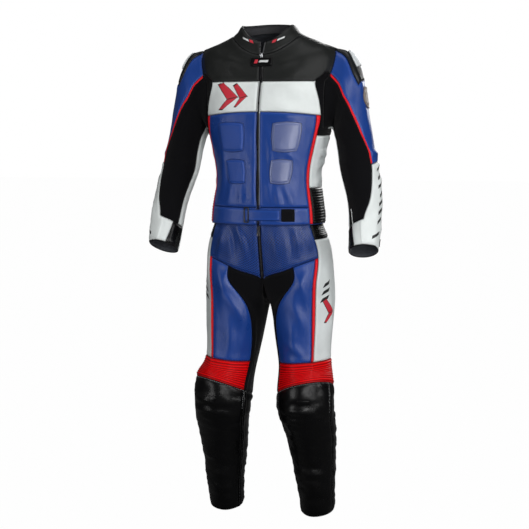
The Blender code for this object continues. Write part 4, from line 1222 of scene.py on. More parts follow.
def add_ribs(piece, panel):
    """Splits the faces along the ribs' length and lifts every point by its place down the cloth."""
    mesh = bmesh.new()
    mesh.from_mesh(piece.data)
    cloth = mesh.loops.layers.uv["cloth"]
    seam = mesh.verts.layers.float["seam"]
    downward = []
    for e in mesh.edges:
        loop = e.link_loops[0]
        run = loop.link_loop_next[cloth].uv - loop[cloth].uv
        if abs(run.y) > abs(run.x):
            downward.append(e)
    bmesh.ops.subdivide_edges(mesh, edges=downward, cuts=RIB_ROWS, use_grid_fill=True)
    mesh.normal_update()
    wave = {}
    for v in mesh.verts:
        spot = v.link_loops[0][cloth].uv.y / (panel.rib_pitch * MM)
        rise = abs(math.sin(math.pi * spot)) ** 0.75
        hold = min(1.0, v[seam] / 0.006)
        uneven = 0.8 + 0.35 * noise.noise(v.co * 30)
        wave[v] = v.normal * ((rise - 0.45) * panel.rib_height * MM * hold * uneven)
        # the valley between two ribs gets the same painted shade as a seam, and its crest the paler painted
        # highlight
        valley = abs(spot - round(spot)) * panel.rib_pitch * MM
        v[seam] = min(v[seam], VALLEY_SLOPE * valley)
    for v, move in wave.items():
        v.co += move
    mesh.to_mesh(piece.data)
    mesh.free()


panels = {}
for skin in (jacket_skin, trouser_skin):
    for number, name in enumerate(skin.names):
        panel = next(row for row in PANELS if name.startswith(row.start))
        made = cut_panel(skin, number, panel)
        panels[name] = made
        inner = "collar_lining" if name == "collar" else "lining"
        made.data.materials.append(LOOKS[panel.finish])
        made.data.materials.append(LOOKS[inner])
        apply_modifier(
            made, "SOLIDIFY", thickness=panel.wall * MM, offset=-1.0, material_offset=1, use_rim=True
        )
        finish_piece(made, stands_for=[name])
print("panels:", len(panels), "with", sum(len(p.data.polygons) for p in panels.values()), "faces")


# %% [markdown]
# ## Laying things on the skin
# Pads, straps and badges follow the surface under them. A level ray is cast at the skin from a chosen side, and
# a small grid of such points becomes the piece. The grid is smoothed a little, so that a stiff piece bridges
# the fine folds under it, and its height is a function of how far in from its own border each point is.

# %% Finding the skin
SKINS = {
    "jacket": BVHTree.FromPolygons(jacket_skin.place.tolist(), jacket_skin.faces.tolist()),
    "trousers": BVHTree.FromPolygons(trouser_skin.place.tolist(), trouser_skin.faces.tolist()),
}


BRIDGE = 12.0


def cast(skin, azimuth, across, up):
    """The skin's point seen level from an azimuth, this far across and up in millimetres.

    The jacket is open down the front, so a place over the zip is bridged from the leather on either side of it.
    """
    if azimuth == 0 and abs(across) < BRIDGE:
        ends = [cast(skin, 0, end, up) for end in (-BRIDGE, BRIDGE)]
        share = (across + BRIDGE) / (2 * BRIDGE)
        return np.array([across * MM, ends[0][1] * (1 - share) + ends[1][1] * share, up * MM])
    a = math.radians(azimuth)
    right, ahead = Vector((math.cos(a), math.sin(a), 0)), Vector((-math.sin(a), math.cos(a), 0))
    start = right * (across * MM) + Vector((0, 0, up * MM)) - ahead
    hit = SKINS[skin].ray_cast(start, ahead)[0]
    return np.array(hit if hit is not None else SKINS[skin].find_nearest(start + ahead)[0])


def quad_place(skin, azimuth, corners, side=1):
    """A place function over four corners: top near, top far, bottom near and bottom far, as (across, up)."""
    tl, tr, bl, br = (np.array(c, float) for c in corners)

    def place(s, t):
        across, up = (tl * (1 - s) + tr * s) * (1 - t) + (bl * (1 - s) + br * s) * t
        return cast(skin, side * azimuth, side * across, up)

    return place


def sleeve_place(side, row, column):
    """A point of a sleeve's skin at fractions of the cage's rows and columns."""
    rows = sleeves[side]
    r, c = min(int(row), len(rows) - 2), int(column) % SLEEVE_COLUMNS
    along, after = column - int(column), (c + 1) % SLEEVE_COLUMNS
    upper = jacket.points[rows[r][c]] * (1 - along) + jacket.points[rows[r][after]] * along
    lower = jacket.points[rows[r + 1][c]] * (1 - along) + jacket.points[rows[r + 1][after]] * along
    return np.array(SKINS["jacket"].find_nearest(Vector((upper * (1 - row + r) + lower * (row - r)) * MM))[0])


# %% A laid piece
def rounded(s, t, rounding):
    """A point of the unit square, drawn in at the corners."""
    u, v = 2 * s - 1, 2 * t - 1
    return (1 + u * math.sqrt(1 - rounding * v * v)) / 2, (1 + v * math.sqrt(1 - rounding * u * u)) / 2


def smoothed(grid, passes):
    for _ in range(passes):
        inner = grid.copy()
        inner[1:-1] = (grid[:-2] + 2 * grid[1:-1] + grid[2:]) / 4
        grid = inner.copy()
        grid[:, 1:-1] = (inner[:, :-2] + 2 * inner[:, 1:-1] + inner[:, 2:]) / 4
    return grid


def laid_piece(name, place, steps, crown, finish, thick=1.0, rounding=0.1, side=1, passes=3, stands_for=()):
    """A closed piece on the skin. crown(gap, s, t) is its height in millimetres, gap in from its border."""
    columns, rows = steps
    fractions = [[(i / columns, j / rows) for i in range(columns + 1)] for j in range(rows + 1)]
    base = smoothed(
        np.array([[place(*rounded(s, t, rounding)) for s, t in line] for line in fractions]), passes
    )
    wide = np.linalg.norm(base[rows // 2, -1] - base[rows // 2, 0])
    tall = np.linalg.norm(base[-1, columns // 2] - base[0, columns // 2])
    outward = np.cross(np.gradient(base, axis=0), np.gradient(base, axis=1)) * side
    outward = smoothed(outward / np.linalg.norm(outward, axis=2)[:, :, None], 2)
    gaps = np.array(
        [[min(min(s, 1 - s) * wide, min(t, 1 - t) * tall) for s, t in line] for line in fractions]
    )
    lift = np.array(
        [[crown(g / MM, s, t) for g, (s, t) in zip(gs, line)] for gs, line in zip(gaps, fractions)]
    )
    points = (base + outward * lift[:, :, None] * MM).reshape(-1, 3)
    at = lambda i, j: j * (columns + 1) + i
    faces, spots = [], []
    for j in range(rows):
        for i in range(columns):
            corner = [(i, j), (i, j + 1), (i + 1, j + 1), (i + 1, j)][:: side or 1]
            faces.append([at(*c) for c in corner])
            spots.append([(c[0] / columns * wide, c[1] / rows * tall) for c in corner])
    data = bpy.data.meshes.new(name)
    data.from_pydata(points.tolist(), [], faces)
    data.uv_layers.new(name="cloth").data.foreach_set("uv", np.array(spots, np.float32).ravel())
    data.attributes.new("seam", "FLOAT", "POINT").data.foreach_set("value", gaps.ravel())
    data.materials.append(LOOKS[finish])
    made = bpy.data.objects.new(name, data)
    scene.collection.objects.link(made)
    apply_modifier(made, "SOLIDIFY", thickness=thick * MM, offset=-1.0, use_rim=True)
    return finish_piece(made, stands_for=stands_for)


def step_up(gap, reach):
    """From 0 at the border to 1 at this reach, with a round shoulder."""
    x = min(1.0, max(0.0, gap / reach))
    return math.sqrt(1 - (1 - x) ** 2)


# %% [markdown]
# ## Front pads
# Four foam pads are sewn under the blue leather of the front. Each shows a rolled rim, a pressed groove inside it
# and a domed middle. They sit on the panel and are made as crowned closed forms of their own.

# %% The four pads
Outline = namedtuple("Outline", "top_in top_out low_in low_out z_top z_low")
PADS = {"upper": Outline(39, 130, 41, 113, -242, -330), "lower": Outline(36, 104, 34, 92, -349, -422)}


def corners_of(outline):
    return [
        (outline.top_in, outline.z_top),
        (outline.top_out, outline.z_top),
        (outline.low_in, outline.z_low),
        (outline.low_out, outline.z_low),
    ]


def pad_crown(gap, s, t):
    rim = 2.4 * step_up(gap, 2.2)
    groove = -1.9 * math.exp(-(((gap - 4.4) / 1.2) ** 2))
    dome = 2.4 * step_up(gap - 5.0, 9.0)
    return 0.4 + rim + groove + dome


# The left pads use a paler copy of the blue, a painted sheen. The right pads use the plain pad blue.
for side, hand in HANDS:
    for level, outline in PADS.items():
        pad = laid_piece(
            f"pad_{level}_{hand}_foam",
            quad_place("jacket", 0, corners_of(outline), side),
            (44, 44),
            pad_crown,
            "blue_pad_painted_sheen" if side > 0 else "blue_pad",
            thick=1.6,
            rounding=0.2,
            side=side,
            passes=8,
            stands_for=[f"pad_{level}_{hand}"],
        )
print("pads:", 4)

# %% [markdown]
# ## Waist strap and neck tab
# A leather strap crosses the front of the waistband. It goes through a slide bar at one end and is held by a
# hook-fabric patch at the other. A small padded tab covers the top of the zip.

# %% Strap, patch and tab
def strap_crown(gap, s, t):
    return 3.0 * step_up(gap, 1.6) - 0.7 * math.exp(-(((gap - 4.0) / 0.9) ** 2))


def patch_crown(gap, s, t):
    return 3.0 * step_up(gap, 1.4)


def tab_crown(gap, s, t):
    return 3.4 * step_up(gap, 4.0) - 0.6 * math.exp(-(((gap - 4.5) / 1.0) ** 2))


strap = [(-42, -494), (66, -494), (-42, -527), (66, -527)]
laid_piece(
    "strap", quad_place("jacket", 0, strap), (72, 24), strap_crown, "blue", rounding=0, passes=10,
    stands_for=["waist_strap"]
)
patch = [(68, -492), (106, -492), (68, -529), (106, -529)]
laid_piece(
    "strap_hook_patch", quad_place("jacket", 0, patch), (24, 24), patch_crown, "hook", rounding=0.02,
    passes=8, stands_for=["strap_patch"]
)
tab = [(-33, -57), (33, -57), (-33, -84), (33, -84)]
laid_piece(
    "neck_tab_leather", quad_place("jacket", 0, tab), (48, 20), tab_crown, "black", rounding=0.1, passes=6,
    stands_for=["neck_tab"]
)

# %% Slide bar
BAR_X, BAR_Z, BAR_WIDE, BAR_TALL = -34.0, -510.5, 15.0, 45.0
bar_y = cast("jacket", 0, BAR_X, BAR_Z)[1] - 5.0 * MM
bpy.ops.object.select_all(action="DESELECT")
bpy.ops.mesh.primitive_plane_add(
    size=1, location=(BAR_X * MM, bar_y, BAR_Z * MM), rotation=(math.pi / 2, 0, 0)
)
bar = bpy.context.active_object
bar.name = "strap_slide"
bar.scale = (BAR_WIDE * MM, BAR_TALL * MM, 1)
bpy.ops.object.transform_apply(location=True, rotation=True, scale=True)
bpy.ops.object.mode_set(mode="EDIT")
bpy.ops.mesh.select_all(action="SELECT")
bpy.ops.mesh.inset(thickness=3.4 * MM)
bpy.ops.mesh.delete(type="ONLY_FACE")
bpy.ops.object.mode_set(mode="OBJECT")
bar.data.materials.append(LOOKS["black_plastic"])
apply_modifier(bar, "SOLIDIFY", thickness=2.2 * MM, offset=0.0)
apply_modifier(bar, "BEVEL", width=0.7 * MM, segments=3)
finish_piece(bar)
print("strap: three pieces and a slide")

# %% [markdown]
# ## Sleeve trim
# A red cord runs down the seam between the stretch cloth and the blue leather. The shoulder cap carries a hard
# pale insert, and the upper left arm a round rubber badge with a plain raised rim.

# %% Piping, cap inserts and badge
PIPING_HALF, PIPING_HIGH = 4.2, 2.2
PIPING_ROWS = len(SLEEVE) - 4


def piping_place(side):
    def place(s, t):
        row = 0.08 + t * (PIPING_ROWS - 0.12)
        middle = sleeve_place(side, row, PIPING)
        beside = sleeve_place(side, row, PIPING + 0.25) - sleeve_place(side, row, PIPING - 0.25 + 1e-6)
        return middle + beside / np.linalg.norm(beside) * (2 * s - 1) * PIPING_HALF * MM

    return place


for side, hand in HANDS:
    laid_piece(
        f"piping_{hand}",
        piping_place(side),
        (8, 96),
        lambda gap, s, t: PIPING_HIGH * math.sqrt(max(0.0, 1 - (2 * s - 1) ** 2)) + 0.2,
        "red",
        rounding=0,
        side=side,
        passes=2,
        stands_for=[f"sleeve_piping_{hand}"],
    )
    laid_piece(
        f"cap_insert_{hand}",
        lambda s, t: sleeve_place(side, 0.85 + 1.25 * t, CAP_FRONT + 0.7 + 2.3 * s),
        (24, 24),
        lambda gap, s, t: 1.2 + 3.6 * step_up(gap, 9.0),
        "pale_plastic",
        thick=3.0,
        rounding=0.3,
        side=side,
        passes=6,
        stands_for=[f"sleeve_cap_insert_{hand}"],
    )

BADGE_RADIUS, BADGE_ROW, BADGE_COLUMN = 33.0, 3.72, 6.9
badge_middle = sleeve_place(1, BADGE_ROW, BADGE_COLUMN)
per_row = 0.1 / np.linalg.norm(sleeve_place(1, BADGE_ROW + 0.1, BADGE_COLUMN) - badge_middle) * MM
per_column = 0.1 / np.linalg.norm(sleeve_place(1, BADGE_ROW, BADGE_COLUMN + 0.1) - badge_middle) * MM


def badge_place(s, t):
    u, v = 2 * s - 1, 2 * t - 1
    along, down = BADGE_RADIUS * u * math.sqrt(1 - v * v / 2), BADGE_RADIUS * v * math.sqrt(1 - u * u / 2)
    return sleeve_place(1, BADGE_ROW + down * per_row, BADGE_COLUMN + along * per_column)


def badge_crown(gap, s, t):
    rim = 3.6 * step_up(gap, 2.0) - 1.3 * step_up(gap - 4.0, 2.0)
    return rim + 1.2 * math.exp(-(((gap - 17.0) / 5.0) ** 2))


laid_piece(
    "arm_badge", badge_place, (32, 32), badge_crown, "rubber", rounding=0, passes=4, stands_for=["badge"]
)
print("sleeve trim:", 5, "pieces")

# %% [markdown]
# ## Printed and appliqued marks
# The real suit carries emblems and lettering. Here plain shapes of about their size and colour take their place:
# a pair of slanted chevrons on the chest and the thigh, and slanted bars down the sleeves and legs. Each is a thin
# appliqued patch, a dark one below and a slightly smaller coloured one on it.

# %% Chevrons and bars
def mark(name, skin, azimuth, corners, finish, high=0.5, side=1):
    corners = list(corners)
    return laid_piece(
        name,
        quad_place(skin, azimuth, corners, side),
        (14, 14),
        lambda gap, s, t: high * step_up(gap, 0.8),
        finish,
        thick=0.6,
        rounding=0.0,
        side=side,
        passes=2,
    )


def grown(corners, by):
    """The same four corners, moved out from their middle."""
    middle = np.mean(np.array(corners, float), axis=0)
    moved = []
    for corner in corners:
        away = np.array(corner, float) - middle
        moved.append(tuple(np.array(corner) + away / np.linalg.norm(away) * by))
    return moved


def chevron(name, skin, azimuth, centre, width, height, lean, side=1):
    """Two arms that meet in a point, dark below and red above."""
    x, z = centre
    arms = [
        [
            (x - width / 2, z + height / 2), (x - width / 4, z + height / 2 + lean), (x, z - height / 10),
            (x + width / 2, z)
        ],
        [
            (x, z - height / 10), (x + width / 2, z), (x - width / 2 + lean, z - height / 2),
            (x - width / 5, z - height / 2)
        ],
    ]
    for number, arm in enumerate(arms):
        mark(f"{name}_outline_{number}", skin, azimuth, grown(arm, 2.6), "ink", 0.5, side)
        mark(f"{name}_arm_{number}", skin, azimuth, arm, "red_ink", 1.1, side)


chevron("chest_chevron_outer", "jacket", 0, (-98, -171), 68, 72, 7)
chevron("chest_chevron_inner", "jacket", 0, (-58, -169), 46, 60, 7)
chevron("thigh_chevron", "trousers", 65, (60, -795), 52, 64, 6)

for number in range(3):
    drop = -712 - 22 * number
    for side, hand in HANDS:
        bar_corners = [
            (38 - 3 * number, drop), (68 - 3 * number, drop + 11), (30 - 3 * number, drop - 13),
            (60 - 3 * number, drop - 2)
        ]
        mark(f"thigh_bar_{number}_{hand}", "trousers", 65, bar_corners, "ink", 0.5, side)

SLEEVE_BARS = [
    (-372, 104, 20), (-396, 102, 26), (-420, 96, 30), (-446, 92, 24), (-470, 82, 30), (-494, 70, 32),
    (-520, 56, 26), (-560, 32, 30)
]
for number, (drop, across, wide) in enumerate(SLEEVE_BARS):
    for side, hand in HANDS:
        bar_corners = [
            (across - wide / 2, drop - 4), (across + wide / 2, drop + 8), (across - wide / 2 - 4, drop - 14),
            (across + wide / 2 - 4, drop - 2)
        ]
        mark(f"sleeve_bar_{number}_{hand}", "jacket", 70, bar_corners, "ink", 0.5, side)

# %% Small plain bars on the collar and tab
for side, hand in HANDS:
    mark(
        f"collar_bar_red_{hand}", "jacket", 0, [(30, -8), (42, -4), (27, -17), (39, -13)], "red_ink", 0.6,
        side
    )
    mark(
        f"collar_bar_pale_{hand}", "jacket", 0, [(44, -5), (64, 4), (42, -11), (62, -2)], "white_thread", 0.6,
        side
    )
bpy.context.view_layer.update()
mark("cuff_tag", "jacket", -40, [(245, -491), (249, -491), (266, -535), (270, -535)], "white_thread", 0.5)


def on_tab(s, t, box):
    x0, x1, z0, z1 = box
    x, z = x0 + (x1 - x0) * s + 3 * (1 - t), z0 + (z1 - z0) * t
    return cast("jacket", 0, x, z) + np.array([0, -4.2 * MM, 0])


laid_piece(
    "tab_bar_red",
    lambda s, t: on_tab(s, t, (-21, -11, -64, -75)), (8, 8), lambda gap, s, t: 0.5, "red_ink", thick=0.6,
    rounding=0
)
laid_piece(
    "tab_bar_pale", lambda s, t: on_tab(s, t, (-7, 20, -66, -72)), (8, 8), lambda gap, s, t: 0.5,
    "white_thread", thick=0.6, rounding=0
)

# %% Smaller sewn pieces
def ribbed_crown(gap, s, t):
    return 0.4 + step_up(gap, 1.2) * (1.2 + 1.1 * abs(math.sin(math.pi * 5 * t)))


def rear_strap_crown(gap, s, t):
    return 2.2 * step_up(gap, 1.4) - 0.6 * math.exp(-(((gap - 3.5) / 0.8) ** 2))


def band_place(side):
    """A place function on the waistband behind the hip, from the cage's own band row."""

    def place(s, t):
        row = BAND_TOP
        spots = [torso[side, row, 9], torso[side, row, 11], torso[side, row + 1, 9], torso[side, row + 1, 11]]
        tl, tr, bl, br = (jacket.points[i] for i in spots)
        down = 0.25 + 0.5 * t
        point = (tl * (1 - s) + tr * s) * (1 - down) + (bl * (1 - s) + br * s) * down
        return np.array(SKINS["jacket"].find_nearest(Vector(point * MM))[0])

    return place


for side, hand in HANDS:
    cuff_rib = [(-60, -578), (-24, -574), (-60, -600), (-24, -597)]
    laid_piece(
        f"cuff_rib_{hand}", quad_place("jacket", 90, cuff_rib, side), (16, 40), ribbed_crown, "black_pleat",
        rounding=0.06, side=side
    )
    laid_piece(
        f"waist_adjuster_{hand}", band_place(side), (36, 20), rear_strap_crown, "hook", rounding=0.03,
        side=side, passes=6
    )
    shin_tab = [(122, -1042), (160, -1042), (124, -1062), (162, -1062)]
    laid_piece(
        f"shin_tab_{hand}", quad_place("trousers", 0, shin_tab, side), (24, 16), rear_strap_crown, "black",
        rounding=0.2, side=side, passes=4
    )
print("marks laid")


# %% [markdown]
# ## Zips
# A zip is a tape with a row of small teeth, and its edges are rolled leather. One tooth is a tapered block, and
# the chain is that block repeated and joined, left and right in turn. The same block, drawn long and thin, makes
# the stitches later.

# %% A block, repeated
BLOCK = np.array([(x, y, z) for z in (0, 1) for y in (-1, 1) for x in (-1, 1)], float)
BLOCK[4:, :2] *= 0.6
BLOCK_FACES = [(0, 2, 3, 1), (4, 5, 7, 6), (0, 1, 5, 4), (2, 6, 7, 3), (0, 4, 6, 2), (1, 3, 7, 5)]


def repeat_block(name, centres, alongs, normals, size, finish, stands_for=()):
    """One joined mesh of blocks. size is the length along, the width across and the height, in millimetres."""
    centres, alongs, normals = (np.array(a, float) for a in (centres, alongs, normals))
    alongs /= np.linalg.norm(alongs, axis=1)[:, None]
    normals -= alongs * np.sum(alongs * normals, axis=1)[:, None]
    normals /= np.linalg.norm(normals, axis=1)[:, None]
    across = np.cross(normals, alongs)
    length, width, height = (np.broadcast_to(np.array(v, float), len(centres)) * MM for v in size)
    points = (
        centres[:, None]
        + alongs[:, None] * (BLOCK[None, :, :1] * length[:, None, None] / 2)
        + across[:, None] * (BLOCK[None, :, 1:2] * width[:, None, None] / 2)
        + normals[:, None] * (BLOCK[None, :, 2:] * height[:, None, None])
    )
    faces = np.array(BLOCK_FACES)[None] + 8 * np.arange(len(centres))[:, None, None]
    data = bpy.data.meshes.new(name)
    data.from_pydata(points.reshape(-1, 3).tolist(), [], faces.reshape(-1, 4).tolist())
    data.materials.append(LOOKS[finish])
    made = bpy.data.objects.new(name, data)
    scene.collection.objects.link(made)
    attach(made, "suit")
    if stands_for:
        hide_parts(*stands_for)
    return made


# %% Front zip and fly zip
TOOTH_PITCH = 2.6


def zip_chain(name, skin, top, low, half, stands_for=()):
    """Tape and teeth between two edges, a little behind them."""

    def depth(z):
        return (cast(skin, 0, half + 2.5, z) + cast(skin, 0, -half - 2.5, z)) / 2

    def place(s, t):
        z = top + (low - top) * t
        return np.array([(2 * s - 1) * (half + 0.6) * MM, depth(z)[1] + 1.0 * MM, z * MM])

    laid_piece(
        name + "_tape", place, (6, 80), lambda gap, s, t: 0.0, "tape", thick=1.0, rounding=0, passes=4,
        stands_for=stands_for
    )
    heights = np.arange(top - 2, low + 2, -TOOTH_PITCH / 2)
    centres = [
        place(0.5 + (0.08 if i % 2 else -0.08), (z - top) / (low - top)) + np.array([0, 0.1 * MM, 0])
        for i, z in enumerate(heights)
    ]
    repeat_block(
        name + "_teeth", centres, [(1, 0, 0)] * len(centres), [(0, -1, 0)] * len(centres), (3.6, 0.9, 0.9),
        "dark_steel" if skin == "trousers" else "black_plastic"
    )
    return depth


front_depth = zip_chain("front_zip_chain", "jacket", -52, -538, ZIP_HALF, stands_for=["front_zip"])
zip_chain("fly_zip_chain", "trousers", -506, -698, FLY_HALF)
print("zip teeth laid")

# %% Sliders
# A slider is a short body with two ears and a pin. The pull of the fly turns on its pin, so it is a piece of its
# own that rides on the body named pull, and the pin stays with the suit.
def metal_block(name, size, centre, body="suit", finish="steel", width=0.5, stands_for=()):
    bpy.ops.object.select_all(action="DESELECT")
    bpy.ops.mesh.primitive_cube_add(size=1, location=[c * MM for c in centre])
    made = bpy.context.active_object
    made.name = name
    made.scale = [s * MM for s in size]
    bpy.ops.object.transform_apply(location=True, rotation=True, scale=True)
    made.data.materials.append(LOOKS[finish])
    apply_modifier(made, "BEVEL", width=width * MM, segments=3)
    return finish_piece(made, body, stands_for)


def metal_rod(name, radius, length, centre, axis="X", body="suit", finish="steel"):
    turned = {"X": (0, math.pi / 2, 0), "Z": (0, 0, 0), "Y": (math.pi / 2, 0, 0)}[axis]
    bpy.ops.object.select_all(action="DESELECT")
    bpy.ops.mesh.primitive_cylinder_add(
        vertices=20, radius=radius * MM, depth=length * MM, location=[c * MM for c in centre], rotation=turned
    )
    made = bpy.context.active_object
    made.name = name
    bpy.ops.object.transform_apply(location=True, rotation=True, scale=True)
    made.data.materials.append(LOOKS[finish])
    apply_modifier(made, "BEVEL", width=0.25 * MM, segments=2, limit_method="ANGLE")
    return finish_piece(made, body)


rise = np.arange(-50, -13, 1.9)
for side, hand in HANDS:
    gaps = ZIP_HALF + (COLLAR_TOP_HALF - ZIP_HALF) * (rise + 50) / 38
    centres = [
        cast("jacket", 0, side * (g + 2.5), z) + np.array([-side * 2.2 * MM, 1.0 * MM, 0])
        for g, z in zip(gaps, rise)
    ]
    repeat_block(
        f"collar_teeth_{hand}", centres, [(1, 0, 0)] * len(rise), [(0, -1, 0)] * len(rise), (3.6, 1.3, 1.4),
        "steel"
    )

pull_low, pull_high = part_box("fly_pull")
PIN_Y, PIN_Z = -112.8, -549.0
metal_block("fly_slider_body", (6.2, 3.2, 13), (0, PIN_Y + 5.0, PIN_Z), finish="dark_steel", width=1.0)
for side, hand in HANDS:
    metal_block(
        f"fly_slider_ear_{hand}", (1.1, 6.0, 5.0), (side * 2.9, PIN_Y + 1.4, PIN_Z), finish="dark_steel",
        width=0.4
    )
metal_rod("fly_slider_pin", 1.1, 6.4, (0, PIN_Y, PIN_Z), finish="dark_steel")

bpy.ops.object.select_all(action="DESELECT")
bpy.ops.mesh.primitive_torus_add(
    major_radius=2.4 * MM, minor_radius=0.75 * MM, major_segments=28, minor_segments=10,
    location=(0, PIN_Y * MM, PIN_Z * MM), rotation=(0, math.pi / 2, 0)
)
eye = bpy.context.active_object
eye.name = "fly_pull_eye"
bpy.ops.object.transform_apply(location=True, rotation=True, scale=True)
eye.data.materials.append(LOOKS["dark_steel"])
finish_piece(eye, "pull", ["fly_pull"])
metal_block("fly_pull_tag", (3.4, 1.6, 12), (0, PIN_Y - 1.4, PIN_Z - 8.6), "pull", "dark_steel")
metal_block("fly_pull_grip", (8.2, 1.9, 11), (0, PIN_Y - 1.4, PIN_Z - 17.0), "pull", "dark_steel", width=0.9)

neck_y = front_depth(-60)[1] / MM
metal_block("neck_slider_body", (8.0, 3.0, 12), (0, neck_y - 0.6, -52), width=1.0)
metal_block("neck_slider_bridge", (2.4, 2.4, 8), (0, neck_y - 3.0, -51), width=0.8)
print("sliders: fly and neck; pull box", [round(v, 4) for v in (*pull_low, *pull_high)])

# %% [markdown]
# ## Rolled edges
# Wherever the suit ends, at the collar, the front opening, the hem, the cuffs and the ankles, the leather is
# turned over a cord. The open borders of the skin are walked round, and a thin tube is laid along each stretch.

# %% Walking the open borders
def open_borders(skin):
    """The skin's open edges, as ordered loops of point numbers."""
    after = {}
    seen = {}
    for face in skin.faces:
        for c in range(4):
            seen[face[c], face[(c + 1) % 4]] = True
    for a, b in seen:
        if (b, a) not in seen:
            after[a] = b
    loops = []
    while after:
        start, here = next(iter(after.items()))
        del after[start]
        loop = [start]
        while here != start and here in after:
            loop.append(here)
            here = after.pop(here)
        loops.append(loop)
    return loops


def tube(name, points, radius, finish, closed=False):
    """A round cord along these points, as a mesh."""
    curve = bpy.data.curves.new(name, "CURVE")
    curve.dimensions, curve.bevel_depth, curve.bevel_resolution = "3D", radius * MM, 2
    curve.use_fill_caps = True
    spline = curve.splines.new("POLY")
    spline.points.add(len(points) - 1)
    for spot, point in zip(spline.points, points):
        spot.co = (*point, 1)
    spline.use_cyclic_u = closed
    made = bpy.data.objects.new(name, curve)
    scene.collection.objects.link(made)
    bpy.ops.object.select_all(action="DESELECT")
    bpy.context.view_layer.objects.active = made
    made.select_set(True)
    bpy.ops.object.convert(target="MESH")
    made = bpy.context.active_object
    made.name = name
    made.data.materials.append(LOOKS[finish])
    return finish_piece(made)


def edge_finish(point):
    """What a rolled edge of the jacket is made of, from where it is. The left edge of the front opening over the
    blue gets a pale painted highlight.
    """
    z = point[2] / MM
    if abs(point[0]) > 0.2 or z > -127:
        return "black"
    if z > -214:
        return "white"
    # the left front edge over the blue is pale as a painted highlight, and the right one is plain blue
    return "rolled" if point[0] > 0 and z > -480 and abs(point[0]) < 0.02 else "blue_pad"


# The cords' radii in millimetres, and the half width in metres that the front opening's edges lie within.
EDGE_CORD, OPENING_CORD, OPENING_HALF = 1.5, 2.3, 0.012
count = 0
for skin in (jacket_skin, trouser_skin):
    for loop in open_borders(skin):
        points = skin.place[loop] + skin.normal[loop] * (-0.6 * MM)
        if skin is trouser_skin:
            if points[:, 2].mean() < -1.0:
                tube(f"ankle_edge_{count}", points, EDGE_CORD, "black", closed=True)
                count += 1
            continue
        runs, start = [], 0
        looks = [edge_finish(p) for p in points]
        for i in range(1, len(points) + 1):
            if i == len(points) or looks[i] != looks[start]:
                runs.append((start, i))
                start = i
        for first, last in runs:
            stretch = points[first : min(last + 1, len(points))]
            if len(stretch) > 2:
                opening = np.abs(stretch[:, 0]).max() < OPENING_HALF
                tube(
                    f"jacket_edge_{count}", stretch, OPENING_CORD if opening else EDGE_CORD, looks[first],
                    closed=len(runs) == 1
                )
                count += 1
print("rolled edges:", count)

# %% [markdown]
# ## Topstitching
# Every leather seam is sewn down beside the join. One stitch goes beside each small edge of a panel's border, in
# from it by a few millimetres, so the row turns corners by itself. Stitches of one thread are one joined mesh.

# %% Stitches beside the seams
STITCH_IN, STITCH_SIZE = 3.0, (0.62, 1.0, 0.55)
SHIN_STITCHES_END = -1.09  # below the knee the shin's stitches are sunk in its seams
threads = {}
for skin in (jacket_skin, trouser_skin):
    tree = SKINS["jacket" if skin is jacket_skin else "trousers"]
    for number, name in enumerate(skin.names):
        panel = next(row for row in PANELS if name.startswith(row.start))
        if not panel.thread:
            continue
        faces = skin.faces[skin.piece == number]
        seen = {(int(f[c]), int(f[(c + 1) % 4])): f for f in faces for c in range(4)}
        for (a, b), face in seen.items():
            if (b, a) in seen:
                continue
            start, end = skin.place[a], skin.place[b]
            if panel.thread == "pale_thread" and start[2] < SHIN_STITCHES_END:
                continue
            along = end - start
            outward = skin.normal[a] + skin.normal[b]
            inward = np.cross(outward, along)
            inward /= np.linalg.norm(inward)
            spot = tree.find_nearest(Vector((start + end) / 2 + inward * STITCH_IN * MM))
            threads.setdefault(panel.thread, []).append((np.array(spot[0]), along, np.array(spot[1])))
for thread, rows in threads.items():
    centres, alongs, normals = zip(*rows)
    long = np.linalg.norm(np.array(alongs), axis=1) / MM * STITCH_SIZE[0]
    repeat_block(
        f"stitches_{thread}", centres, alongs, normals, (long, STITCH_SIZE[1], STITCH_SIZE[2]), thread
    )
print("stitches:", {thread: len(rows) for thread, rows in threads.items()})

# %% [markdown]
# ## What each panel was cut from
# A panel is a sheet that was cut flat and then sewn. Its cut is worked out from the pattern tables: the cells of
# the cage that it covers, before any rounding or folds. A pleated panel is cut longer by the length that its ribs
# take up. Only the printed comparison is measured on the finished panels, so the frame's check compares two
# separate things.

# %% Cuts from the pattern
RIB_UNEVEN = 0.8  # the mean share of its full height that a rib reaches


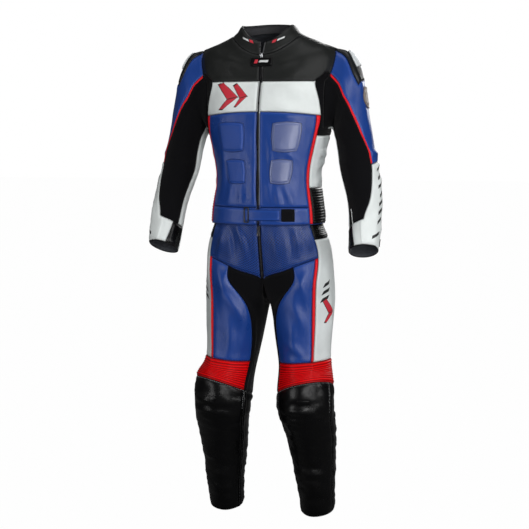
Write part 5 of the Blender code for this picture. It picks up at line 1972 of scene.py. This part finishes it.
def rib_take_up(panel):
    """How much longer a pleated panel is cut than it hangs."""
    if not panel.rib_pitch:
        return 1.0
    share = np.linspace(0, 1, 200)
    height = np.sin(math.pi * share) ** 0.75 * panel.rib_height * RIB_UNEVEN
    return float(np.hypot(np.diff(share) * panel.rib_pitch, np.diff(height)).sum() / panel.rib_pitch)


def pattern_cut(cage, name, take_up):
    """Width and length of the rectangle that a panel is cut from, and the panel's own flat area, in metres."""
    widths, heights, area = {}, {}, 0.0
    for piece, corners, cloth in cage.cells:
        if piece != name:
            continue
        points, cloth = np.array([cage.points[i] for i in corners]) * MM, np.array(cloth)
        steps = np.linalg.norm(np.roll(points, -1, axis=0) - points, axis=1)
        turns = np.abs(np.roll(cloth, -1, axis=0) - cloth)
        across = turns[:, 0] > turns[:, 1]
        row = (round(float(cloth[:, 1].min()), 1), round(float(cloth[:, 1].max()), 1))
        widths[row] = widths.get(row, 0.0) + steps[across].mean()
        heights[row] = max(heights.get(row, 0.0), steps[~across].mean())
        a, b, c, d = points
        area += (np.linalg.norm(np.cross(b - a, c - a)) + np.linalg.norm(np.cross(c - a, d - a))) / 2
    return max(widths.values()), sum(heights.values()) * take_up, area * take_up


# A strip that runs slantwise fills little of its rectangle, so it is given by its mean width instead.
LEAST_FILL, NARROWEST = 0.3, 0.01
slanting, declared = [], 0
for cage, skin in ((jacket, jacket_skin), (trousers, trouser_skin)):
    for name in skin.names:
        panel = next(row for row in PANELS if name.startswith(row.start))
        wide, long, area = pattern_cut(cage, name, rib_take_up(panel))
        if wide < NARROWEST:
            print("not declared:", name, "is a tape only", round(wide * 1000, 1), "mm wide")
            continue
        if area < LEAST_FILL * wide * long:
            wide = area / long
            slanting.append(name)
        made = sum(p.area for p in panels[name].data.polygons) / 2
        print(
            f"cut {name}: {wide * 1000:.0f} x {long * 1000:.0f} mm, {area:.4f} m2, made {made:.4f}, "
            f"{made / area:.2f}, fills {area / wide / long:.2f}"
        )
        declared += 1
print("cuts declared:", declared, "by mean width:", slanting)


# %% [markdown]
# ## Size
# The finished suit has to stay inside the CAD model's box, apart from the little that soft leather stands proud.
# The CAD model's box is written down.

# %% Size and finish
print("cad box", [round(v, 3) for v in (*cad_low, *cad_high)])
